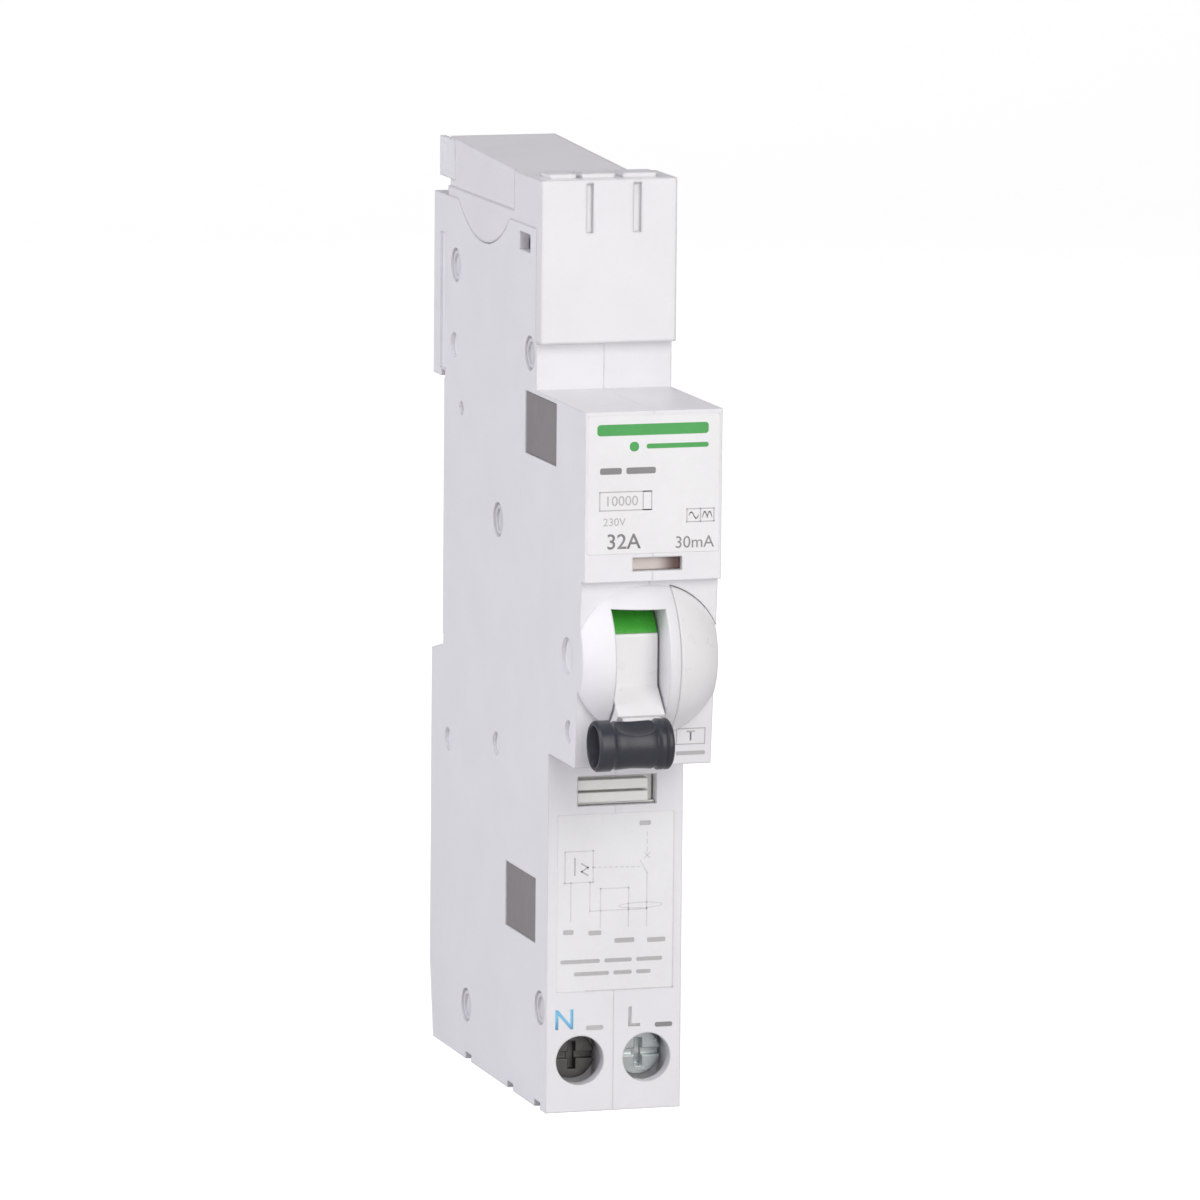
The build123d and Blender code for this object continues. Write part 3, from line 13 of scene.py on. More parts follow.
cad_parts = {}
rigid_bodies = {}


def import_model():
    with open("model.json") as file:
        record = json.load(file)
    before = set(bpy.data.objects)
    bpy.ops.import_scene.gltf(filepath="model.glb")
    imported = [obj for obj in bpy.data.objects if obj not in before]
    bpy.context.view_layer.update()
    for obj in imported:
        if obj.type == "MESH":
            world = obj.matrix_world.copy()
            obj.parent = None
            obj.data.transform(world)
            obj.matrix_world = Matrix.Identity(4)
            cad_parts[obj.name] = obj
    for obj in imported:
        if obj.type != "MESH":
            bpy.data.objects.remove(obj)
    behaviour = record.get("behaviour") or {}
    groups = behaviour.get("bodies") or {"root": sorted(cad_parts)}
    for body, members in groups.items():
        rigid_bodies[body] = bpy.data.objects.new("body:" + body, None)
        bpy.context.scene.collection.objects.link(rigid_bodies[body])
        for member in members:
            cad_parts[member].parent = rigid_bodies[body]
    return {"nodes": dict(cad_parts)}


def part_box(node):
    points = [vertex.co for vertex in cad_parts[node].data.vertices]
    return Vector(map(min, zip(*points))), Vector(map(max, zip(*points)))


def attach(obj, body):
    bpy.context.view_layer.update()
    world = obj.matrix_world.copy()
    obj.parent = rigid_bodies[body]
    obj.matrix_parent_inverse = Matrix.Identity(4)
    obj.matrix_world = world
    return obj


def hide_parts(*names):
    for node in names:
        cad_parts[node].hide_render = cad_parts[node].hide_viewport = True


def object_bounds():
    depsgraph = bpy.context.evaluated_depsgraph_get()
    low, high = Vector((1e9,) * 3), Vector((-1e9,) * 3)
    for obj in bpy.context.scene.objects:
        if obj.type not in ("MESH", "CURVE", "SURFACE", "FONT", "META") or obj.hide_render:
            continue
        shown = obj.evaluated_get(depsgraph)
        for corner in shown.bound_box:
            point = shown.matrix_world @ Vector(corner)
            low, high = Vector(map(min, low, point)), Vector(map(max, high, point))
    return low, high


for leftover in list(bpy.data.objects):
    bpy.data.objects.remove(leftover)
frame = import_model()
CAD_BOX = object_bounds()

LOG = logging.getLogger("device_scene")
MM = 0.001
FRONT = Matrix(((1, 0, 0), (0, 0, -1), (0, 1, 0))).to_4x4()
"""Turns a shape drawn in X and Y, facing +Z, so that it stands in X and Z, facing -Y."""

TURN_WELD = 0.002 * MM
EDGE_WELD = 0.004 * MM
INK_WELD = 0.001 * MM
"""Vertices closer than these are merged in turned shapes, rounded pieces and ink."""
SIZE_PER_CAPITAL = 1.4
"""Size of the type over the height of its capitals."""

Colour = tuple[float, float, float]
Triple = tuple[float, float, float]
Point = tuple[float, float]
Box = tuple[float, float, float, float]


# ---- finishes ---------------------------------------------------------------------
class Surface(Enum):
    """Character of a finish's fine relief."""

    MOULDED = "moulded"
    POLISHED = "polished"
    BRUSHED = "brushed"
    WOUND = "wound"
    PRINTED = "printed"


class Sheet:
    """One material's node sheet, with short calls to place and join nodes."""

    def __init__(self, name: str) -> None:
        """Makes an empty material.

        Args:
            name: Name of the material.
        """
        self.material = bpy.data.materials.new(name)
        self.material.use_nodes = True
        self.tree = self.material.node_tree
        self.tree.nodes.clear()

    def add(self, kind: str, **values: object) -> bpy.types.Node:
        """Adds a node and sets its inputs or properties.

        Args:
            kind: Node type without its Shader prefix.
            **values: Input names with underscores for spaces, or node properties.

        Returns:
            The new node.
        """
        node = self.tree.nodes.new("ShaderNode" + kind)
        for key, value in values.items():
            title = key.replace("_", " ").title()
            if title in node.inputs:
                node.inputs[title].default_value = value
            else:
                setattr(node, key, value)
        return node

    def join(self, source: bpy.types.NodeSocket, target: bpy.types.NodeSocket) -> None:
        """Links one socket to another.

        Args:
            source: Output socket.
            target: Input socket.
        """
        self.tree.links.new(source, target)

    def position(self) -> bpy.types.NodeSocket:
        """Returns the object coordinates, in metres."""
        return self.add("TexCoord").outputs["Object"]

    def noise(self, where: bpy.types.NodeSocket, scale: float, detail: float) -> bpy.types.NodeSocket:
        """Places a noise pattern.

        Args:
            where: Coordinates.
            scale: Cells per metre.
            detail: Octaves.

        Returns:
            The pattern's value, 0 to 1.
        """
        node = self.add("TexNoise", scale=scale, detail=detail, roughness=0.55)
        self.join(where, node.inputs["Vector"])
        return node.outputs["Fac"]

    def spread(self, value: bpy.types.NodeSocket, low: float, high: float) -> bpy.types.NodeSocket:
        """Maps a 0 to 1 pattern's middle part to a range.

        Args:
            value: Pattern value.
            low: Result where the pattern is dark.
            high: Result where the pattern is light.

        Returns:
            The mapped value.
        """
        node = self.add("MapRange")
        node.inputs["From Min"].default_value = 0.3
        node.inputs["From Max"].default_value = 0.7
        node.inputs["To Min"].default_value = low
        node.inputs["To Max"].default_value = high
        self.join(value, node.inputs["Value"])
        return node.outputs["Result"]


@dataclass(frozen=True)
class Fade:
    """A change of colour along X.

    Attributes:
        colour: Colour at the far end, linear.
        start: X where the change starts, in metres.
        end: X where it is whole, in metres.
    """

    colour: Colour
    start: float
    end: float


CLOUD_SCALE = 95.0
SPECK_SHARE = 0.35
WEAR_SCALE = 420.0
WEAR_SHARE = 0.12
"""Scales of the colour clouds and the worn patches, in cells per metre, and their shares."""
COAT_ROUGHNESS = 0.12
SHEEN_LEVEL = 0.45
RELIEF_STRENGTH = 0.6
SCATTER_RADIUS = (1.2 * MM, 1.0 * MM, 0.9 * MM)
SCATTER_SCALE = 0.6


@dataclass(frozen=True)
class Finish:
    """A surface finish with colour drift, fine relief and softened edges.

    Attributes:
        name: Material name.
        colour: Base colour, linear.
        surface: Character of the relief.
        roughness: Middle roughness.
        metallic: 1 for bare metal.
        grain: Cells of relief per metre.
        relief: Height of the relief, in metres.
        drift: Share by which the colour wanders.
        edge: Radius that softens the shading of edges, in metres.
        coat: Weight of a clear coat.
        translucence: Share of light scattered below the surface.
        fade: Change of colour along X, if any.
    """

    name: str
    colour: Colour
    surface: Surface = Surface.MOULDED
    roughness: float = 0.45
    metallic: float = 0.0
    grain: float = 2600.0
    relief: float = 0.00001
    drift: float = 0.03
    edge: float = 0.00022
    coat: float = 0.0
    translucence: float = 0.0
    fade: Fade | None = None

    def _pattern(self, sheet: Sheet, where: bpy.types.NodeSocket) -> bpy.types.NodeSocket:
        """Draws the fine relief.

        Args:
            sheet: Node sheet.
            where: Coordinates.

        Returns:
            Relief value, 0 to 1.
        """
        if self.surface is Surface.BRUSHED:
            stretch = sheet.add("Mapping")
            stretch.inputs["Scale"].default_value = (0.06, 1.0, 1.0)
            sheet.join(where, stretch.inputs["Vector"])
            return sheet.noise(stretch.outputs["Vector"], self.grain, 5.0)
        if self.surface is Surface.WOUND:
            waves = sheet.add("TexWave", scale=self.grain / 6.0, distortion=0.6, detail=1.0)
            waves.bands_direction = "DIAGONAL"
            sheet.join(where, waves.inputs["Vector"])
            return waves.outputs["Fac"]
        if self.surface is Surface.POLISHED:
            return sheet.noise(where, self.grain * 0.25, 2.0)
        cells = sheet.add("TexVoronoi", scale=self.grain, randomness=1.0)
        sheet.join(where, cells.inputs["Vector"])
        fine = sheet.noise(where, self.grain * 1.7, 3.0)
        blend = sheet.add("Math", operation="MULTIPLY_ADD")
        sheet.join(cells.outputs["Distance"], blend.inputs[0])
        blend.inputs[1].default_value = 0.5
        sheet.join(fine, blend.inputs[2])
        return blend.outputs["Value"]

    def _tone(self, sheet: Sheet, where: bpy.types.NodeSocket) -> bpy.types.NodeSocket:
        """Mixes the base colour with its wandering darker and lighter tones.

        Args:
            sheet: Node sheet.
            where: Coordinates.

        Returns:
            Colour socket.
        """
        clouds = sheet.noise(where, CLOUD_SCALE, 4.0)
        specks = sheet.noise(where, self.grain * 0.6, 2.0)
        both = sheet.add("Math", operation="MULTIPLY_ADD")
        sheet.join(specks, both.inputs[0])
        both.inputs[1].default_value = SPECK_SHARE
        sheet.join(clouds, both.inputs[2])
        ramp = sheet.add("ValToRGB")
        dark = [channel * (1.0 - self.drift) for channel in self.colour]
        light = [min(1.0, channel * (1.0 + self.drift * 0.6)) for channel in self.colour]
        ramp.color_ramp.elements[0].position = 0.5
        ramp.color_ramp.elements[0].color = (*dark, 1.0)
        ramp.color_ramp.elements[1].position = 0.85
        ramp.color_ramp.elements[1].color = (*light, 1.0)
        sheet.join(both.outputs["Value"], ramp.inputs["Fac"])
        if self.fade is None:
            return ramp.outputs["Color"]
        split = sheet.add("SeparateXYZ")
        sheet.join(where, split.inputs["Vector"])
        share = sheet.add("MapRange", interpolation_type="SMOOTHSTEP")
        share.inputs["From Min"].default_value = self.fade.start
        share.inputs["From Max"].default_value = self.fade.end
        sheet.join(split.outputs["X"], share.inputs["Value"])
        blend = sheet.add("Mix", data_type="RGBA")
        sheet.join(share.outputs["Result"], blend.inputs["Factor"])
        sheet.join(ramp.outputs["Color"], blend.inputs[6])
        blend.inputs[7].default_value = (*self.fade.colour, 1.0)
        return blend.outputs[2]

    def material(self) -> bpy.types.Material:
        """Makes this finish's material, or finds it if it was made before.

        Returns:
            The material.
        """
        known = bpy.data.materials.get("fin_" + self.name)
        if known is not None:
            return known
        sheet = Sheet("fin_" + self.name)
        where = sheet.position()
        shader = sheet.add("BsdfPrincipled")
        shader.inputs["Metallic"].default_value = self.metallic
        shader.inputs["Coat Weight"].default_value = self.coat
        shader.inputs["Coat Roughness"].default_value = COAT_ROUGHNESS
        shader.inputs["Specular IOR Level"].default_value = SHEEN_LEVEL
        if self.translucence > 0.0:
            shader.inputs["Subsurface Weight"].default_value = self.translucence
            shader.inputs["Subsurface Radius"].default_value = SCATTER_RADIUS
            shader.inputs["Subsurface Scale"].default_value = SCATTER_SCALE
        sheet.join(self._tone(sheet, where), shader.inputs["Base Color"])
        smooth = self.roughness * (1.0 - WEAR_SHARE)
        worn = min(1.0, self.roughness * (1.0 + WEAR_SHARE))
        rough = sheet.spread(sheet.noise(where, WEAR_SCALE, 3.0), smooth, worn)
        sheet.join(rough, shader.inputs["Roughness"])
        bump = sheet.add("Bump")
        bump.inputs["Strength"].default_value = RELIEF_STRENGTH
        bump.inputs["Distance"].default_value = self.relief
        sheet.join(self._pattern(sheet, where), bump.inputs["Height"])
        if self.edge > 0.0:
            soft = sheet.add("Bevel", samples=4)
            soft.inputs["Radius"].default_value = self.edge
            sheet.join(soft.outputs["Normal"], bump.inputs["Normal"])
        sheet.join(bump.outputs["Normal"], shader.inputs["Normal"])
        out = sheet.add("OutputMaterial")
        sheet.join(shader.outputs["BSDF"], out.inputs["Surface"])
        return sheet.material


WHITE_MOULD = Finish("white_mould", (0.80, 0.795, 0.82), roughness=0.42, drift=0.02, edge=0.0003)
CAP_MOULD = Finish("cap_mould", (0.79, 0.785, 0.805), roughness=0.38, drift=0.02, edge=0.0006)
BUTTON_MOULD = Finish("button_mould", (0.83, 0.82, 0.83), roughness=0.3, drift=0.02, edge=0.0003)
SHIELD_MOULD = Finish("shield_mould", (0.84, 0.85, 0.87), roughness=0.25, translucence=0.5)
GRIP_MOULD = Finish(
    "grip_mould", (0.033, 0.035, 0.046), roughness=0.33, grain=3400.0, relief=0.00002, drift=0.18
)
GREEN_MOULD = Finish("green_mould", (0.048, 0.36, 0.03), Surface.POLISHED, roughness=0.28)
WINDOW_GREY = Finish("window_grey", (0.245, 0.23, 0.23), roughness=0.55, drift=0.05, edge=0.0002)
LABEL_FILM = Finish("label_film", (0.82, 0.82, 0.83), Surface.PRINTED, roughness=0.33, edge=0.0001)
# Pale brown strip whose colour darkens to near black towards its right end, from X 0.4 mm to 3.2 mm.
BROWN_STRIP_DARKER_RIGHT = Finish(
    "brown_strip_darker_right",
    (0.62, 0.56, 0.53),
    roughness=0.5,
    fade=Fade((0.11, 0.06, 0.05), 0.4 * MM, 3.2 * MM),
)
LOUVRE_MOULD = Finish("louvre_mould", (0.86, 0.86, 0.83), roughness=0.5)
NYLON = Finish("nylon", (0.66, 0.63, 0.54), roughness=0.5, translucence=0.2)
LATCH_MOULD = Finish("latch_mould", (0.76, 0.76, 0.77), roughness=0.36)
RELAY_CASE = Finish("relay_case", (0.02, 0.025, 0.035), roughness=0.35)
BOARD_GREEN = Finish("board_green", (0.02, 0.14, 0.05), Surface.POLISHED, roughness=0.3, coat=0.4)
FIBRE = Finish("fibre", (0.36, 0.22, 0.12), roughness=0.7, grain=900.0, drift=0.14)
ZINC = Finish("zinc", (0.56, 0.60, 0.60), Surface.BRUSHED, 0.30, 1.0, grain=5200.0, drift=0.12)
RIVET_HEAD = Finish("rivet_head", (0.72, 0.715, 0.74), Surface.POLISHED, 0.5, 0.15, drift=0.06)
DARK_STEEL = Finish("dark_steel", (0.13, 0.125, 0.12), Surface.BRUSHED, 0.38, 1.0, drift=0.2)
PLAIN_STEEL = Finish("plain_steel", (0.50, 0.49, 0.47), Surface.BRUSHED, 0.36, 1.0, drift=0.1)
BIMETAL = Finish("bimetal", (0.55, 0.50, 0.43), Surface.BRUSHED, 0.34, 1.0, drift=0.12)
SPRING_WIRE = Finish("spring_wire", (0.42, 0.42, 0.43), Surface.POLISHED, 0.3, 1.0, edge=0.0)
COPPER = Finish("copper", (0.82, 0.42, 0.26), Surface.BRUSHED, 0.3, 1.0, drift=0.14)
BRAID = Finish("braid", (0.78, 0.40, 0.26), Surface.WOUND, 0.4, 1.0, relief=0.00008, drift=0.2)
ENAMEL = Finish("enamel", (0.46, 0.14, 0.04), Surface.WOUND, 0.25, 0.4, coat=0.5, relief=0.00003)
SILVER = Finish("silver", (0.86, 0.85, 0.82), Surface.POLISHED, 0.22, 1.0)
CORE_EPOXY = Finish("core_epoxy", (0.03, 0.08, 0.22), roughness=0.3, coat=0.3)
INK_GREY = Finish("ink_grey", (0.27, 0.265, 0.265), Surface.PRINTED, 0.5, drift=0.12, edge=0.0)
INK_FAINT = Finish("ink_faint", (0.66, 0.66, 0.665), Surface.PRINTED, 0.5, drift=0.08, edge=0.0)
INK_PALE = Finish("ink_pale", (0.50, 0.495, 0.495), Surface.PRINTED, 0.5, drift=0.1, edge=0.0)
INK_GREEN = Finish("ink_green", (0.07, 0.37, 0.09), Surface.PRINTED, 0.42, drift=0.08, edge=0.0)
INK_BLUE = Finish("ink_blue", (0.20, 0.52, 0.78), Surface.PRINTED, 0.42, drift=0.08, edge=0.0)

NODE_FINISHES: dict[Finish, tuple[str, ...]] = {
    WHITE_MOULD: ("left_casing", "right_casing"),
    CAP_MOULD: ("top_cap",),
    BUTTON_MOULD: ("test_button", "toggle_lever"),
    SHIELD_MOULD: ("busbar_shield",),
    GRIP_MOULD: ("toggle_grip",),
    GREEN_MOULD: ("indicator_strip",),
    WINDOW_GREY: ("upper_window_plug", "lower_window_plug"),
    LABEL_FILM: ("rating_label", "wiring_label"),
    BROWN_STRIP_DARKER_RIGHT: ("marker_strip",),
    LOUVRE_MOULD: ("vent_louvre",),
    NYLON: ("coil_bobbin", "trip_lever", "lead_grommet"),
    LATCH_MOULD: ("rail_latch",),
    RELAY_CASE: ("trip_relay", "board_components"),
    BOARD_GREEN: ("circuit_board",),
    FIBRE: ("arc_chute_cheeks",),
    ZINC: (
        "terminal_screw_l",
        "jaw_clip",
        "trip_lever_pin",
        "contact_arm_pin",
        "toggle_axle",
        "relay_pin",
        "calibration_screw",
        "toggle_link",
        "terminal_cage_n",
        "terminal_cage_l",
    ),
    RIVET_HEAD: ("casing_rivets",),
    DARK_STEEL: ("terminal_screw_n",),
    PLAIN_STEEL: ("arc_chute_plates", "solenoid_yoke", "solenoid_plunger", "bimetal_bracket"),
    BIMETAL: ("bimetal_strip",),
    SPRING_WIRE: (
        "toggle_spring",
        "test_spring",
        "plunger_spring",
        "latch_spring",
        "test_contact_strip",
    ),
    COPPER: (
        "line_conductor",
        "neutral_conductor",
        "fixed_contact",
        "contact_arm",
        "line_in_strip",
        "busbar_jaw",
    ),
    BRAID: ("contact_braid",),
    ENAMEL: ("trip_coil", "toroid_winding"),
    SILVER: ("moving_contact_tip",),
    CORE_EPOXY: ("toroid_core",),
}


def dress(piece: bpy.types.Object, finish: Finish) -> None:
    """Gives a piece one finish all over.

    Args:
        piece: Mesh object.
        finish: Its finish.
    """
    piece.data.materials.clear()
    piece.data.materials.append(finish.material())


def deselect() -> None:
    """Leaves edit mode and deselects every object."""
    if bpy.context.object is not None and bpy.context.object.mode != "OBJECT":
        bpy.ops.object.mode_set(mode="OBJECT")
    bpy.ops.object.select_all(action="DESELECT")


def focus(piece: bpy.types.Object) -> None:
    """Selects one piece alone and makes it the active one.

    Args:
        piece: Object to work on.
    """
    deselect()
    piece.select_set(True)
    bpy.context.view_layer.objects.active = piece


def settle(piece: bpy.types.Object) -> None:
    """Moves a piece's place into its mesh.

    Args:
        piece: Object to settle at the origin.
    """
    focus(piece)
    bpy.ops.object.transform_apply(location=True, rotation=True, scale=True)


def weld(parts: list[bpy.types.Object], name: str) -> bpy.types.Object:
    """Joins parts into one named piece.

    Args:
        parts: Mesh objects.
        name: Name of the piece.

    Returns:
        The joined piece.
    """
    deselect()
    for part in parts:
        part.select_set(True)
    bpy.context.view_layer.objects.active = parts[0]
    if len(parts) > 1:
        bpy.ops.object.join()
    piece = bpy.context.object
    piece.name = name
    piece.data.name = name
    return piece


# ---- nose ------------------------------------------------------------------------
@dataclass(frozen=True)
class NoseFace:
    """Planes of the front that carry printing.

    Attributes:
        lower_face: Y of the lower front, in metres.
        low: Y and Z of the nose's lower front edge, in metres.
        high: Y and Z of the nose's upper front edge, in metres.
    """

    lower_face: float = -48.0 * MM
    low: tuple[float, float] = (-59.2 * MM, -24.6 * MM)
    high: tuple[float, float] = (-61.3 * MM, -0.9 * MM)

    @property
    def lean(self) -> float:
        """Lean of the nose's face from upright, in radians."""
        return math.atan2(-(self.high[0] - self.low[0]), self.high[1] - self.low[1])

    def face_at(self, z: float) -> float:
        """Y of the nose's face at a height.

        Args:
            z: Height, in metres.

        Returns:
            Y, in metres.
        """
        share = (z - self.low[1]) / (self.high[1] - self.low[1])
        return self.low[0] + (self.high[0] - self.low[0]) * share


NOSE = NoseFace()


# ---- shaping helpers --------------------------------------------------------------
def lathe(points: list[tuple[float, float]], y: float, z: float, steps: int) -> bpy.types.Object:
    """Turns a half outline about a line along X.

    Args:
        points: X and radius of each point of the outline.
        y: Y of the line.
        z: Z of the line.
        steps: Steps round the turn.

    Returns:
        The turned, closed shape.
    """
    deselect()
    x0, r0 = points[0]
    bpy.ops.mesh.primitive_plane_add(size=1.0 * MM, location=(x0, y, z + r0))
    piece = bpy.context.object
    settle(piece)
    bpy.ops.object.mode_set(mode="EDIT")
    bpy.ops.mesh.select_all(action="SELECT")
    bpy.ops.mesh.merge(type="CENTER")
    for (x0, r0), (x1, r1) in zip(points, points[1:]):
        bpy.ops.mesh.extrude_region_move(TRANSFORM_OT_translate={"value": (x1 - x0, 0.0, r1 - r0)})
    bpy.ops.mesh.select_all(action="SELECT")
    bpy.ops.mesh.spin(steps=steps, angle=2 * math.pi, center=(0.0, y, z), axis=(1.0, 0.0, 0.0))
    bpy.ops.mesh.select_all(action="SELECT")
    bpy.ops.mesh.remove_doubles(threshold=TURN_WELD)
    bpy.ops.mesh.normals_make_consistent(inside=False)
    bpy.ops.object.mode_set(mode="OBJECT")
    return piece


def ball(centre: Vector, radii: Vector, segments: int, turn: float = 0.0) -> bpy.types.Object:
    """Adds a stretched ball.

    Args:
        centre: Middle.
        radii: Reach along X, Y and Z.
        segments: Faces round its middle.
        turn: Turn of its poles about Y, in radians.

    Returns:
        The ball.
    """
    deselect()
    bpy.ops.mesh.primitive_uv_sphere_add(segments=segments, ring_count=segments // 2, radius=1.0)
    piece = bpy.context.object
    piece.scale = radii
    piece.rotation_euler = (0.0, turn, 0.0)
    piece.location = centre
    settle(piece)
    return piece


def drum(centre: Vector, radius: float, length: float, vertices: int) -> bpy.types.Object:
    """Adds a round bar that runs front to back.

    Args:
        centre: Middle.
        radius: Radius.
        length: Length along Y.
        vertices: Faces round it.

    Returns:
        The bar.
    """
    deselect()
    bpy.ops.mesh.primitive_cylinder_add(
        vertices=vertices, radius=radius, depth=length, location=centre, rotation=(math.pi / 2, 0.0, 0.0)
    )
    piece = bpy.context.object
    settle(piece)
    return piece


def brick(low: Vector, high: Vector) -> bpy.types.Object:
    """Adds a block between two corners.

    Args:
        low: Lowest corner.
        high: Highest corner.

    Returns:
        The block.
    """
    deselect()
    bpy.ops.mesh.primitive_cube_add(size=1.0, location=(low + high) / 2)
    piece = bpy.context.object
    piece.scale = high - low
    settle(piece)
    return piece


def carve(piece: bpy.types.Object, tool: bpy.types.Object, operation: str) -> None:
    """Joins, cuts or keeps a piece by another shape, which is then removed.

    Args:
        piece: Piece to change.
        tool: The other shape.
        operation: UNION, DIFFERENCE or INTERSECT.
    """
    focus(piece)
    cut = piece.modifiers.new("carve", "BOOLEAN")
    cut.operation = operation
    cut.solver = "EXACT"
    cut.object = tool
    bpy.ops.object.modifier_apply(modifier=cut.name)
    bpy.data.objects.remove(tool)


def finish_edges(piece: bpy.types.Object, width: float, angle: float = 35.0) -> None:
    """Rounds a piece's sharp edges and smooths its shading.

    Args:
        piece: Piece to finish.
        width: Width of the rounding, in metres.
        angle: Edges sharper than this are rounded, in degrees.
    """
    focus(piece)
    bpy.ops.object.mode_set(mode="EDIT")
    bpy.ops.mesh.select_all(action="SELECT")
    bpy.ops.mesh.remove_doubles(threshold=EDGE_WELD)
    bpy.ops.object.mode_set(mode="OBJECT")
    round_off = piece.modifiers.new("round", "BEVEL")
    round_off.width = width
    round_off.segments = 3
    round_off.limit_method = "ANGLE"
    round_off.angle_limit = math.radians(angle)
    round_off.use_clamp_overlap = True
    bpy.ops.object.modifier_apply(modifier=round_off.name)
    bpy.ops.object.shade_smooth_by_angle(angle=math.radians(angle))


def present(piece: bpy.types.Object, name: str, finish: Finish, body: str) -> None:
    """Names, dresses and mounts a finished piece.

    Args:
        piece: Finished piece.
        name: Its name.
        finish: Its finish.
        body: Body that carries it.
    """
    piece.name = name
    piece.data.name = name
    dress(piece, finish)
    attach(piece, body)
    LOG.info("made %s with %d faces", name, len(piece.data.polygons))


# ---- modelled pieces --------------------------------------------------------------
@dataclass
class LabelFilm:
    """Self-adhesive label with rounded corners, laid over its shallow pocket.

    Attributes:
        node: CAD node that it stands for.
        overlap: Reach past the plate's edge, in metres.
        proud: Height above the plate, in metres.
        thickness: Film thickness, in metres.
        corner: Corner radius, in metres.
    """

    node: str
    overlap: float = 0.18 * MM
    proud: float = 0.09 * MM
    thickness: float = 0.12 * MM
    corner: float = 0.4 * MM

    @property
    def front(self) -> float:
        """Y of the film's printed face."""
        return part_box(self.node)[0].y - self.proud

    def build(self) -> None:
        """Cuts the film and lays it down."""
        low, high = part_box(self.node)
        deselect()
        middle = ((low.x + high.x) / 2, (low.z + high.z) / 2, 0.0)
        bpy.ops.mesh.primitive_plane_add(size=1.0, location=middle)
        film = bpy.context.object
        film.scale = (high.x - low.x + 2 * self.overlap, high.z - low.z + 2 * self.overlap, 1.0)
        settle(film)
        bpy.ops.object.mode_set(mode="EDIT")
        bpy.ops.mesh.select_all(action="SELECT")
        bpy.ops.mesh.bevel(offset=self.corner, offset_pct=0, segments=6, affect="VERTICES")
        bpy.ops.mesh.select_all(action="SELECT")
        bpy.ops.mesh.extrude_region_move(
            TRANSFORM_OT_translate={"value": (0.0, 0.0, -self.thickness)}
        )
        bpy.ops.mesh.select_all(action="SELECT")
        bpy.ops.mesh.normals_make_consistent(inside=False)
        bpy.ops.object.mode_set(mode="OBJECT")
        film.data.transform(Matrix.Translation((0.0, self.front, 0.0)) @ FRONT)
        present(film, self.node + "_film", LABEL_FILM, "casing")
        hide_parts(self.node)


RATING_FILM = LabelFilm("rating_label")
WIRING_FILM = LabelFilm("wiring_label")


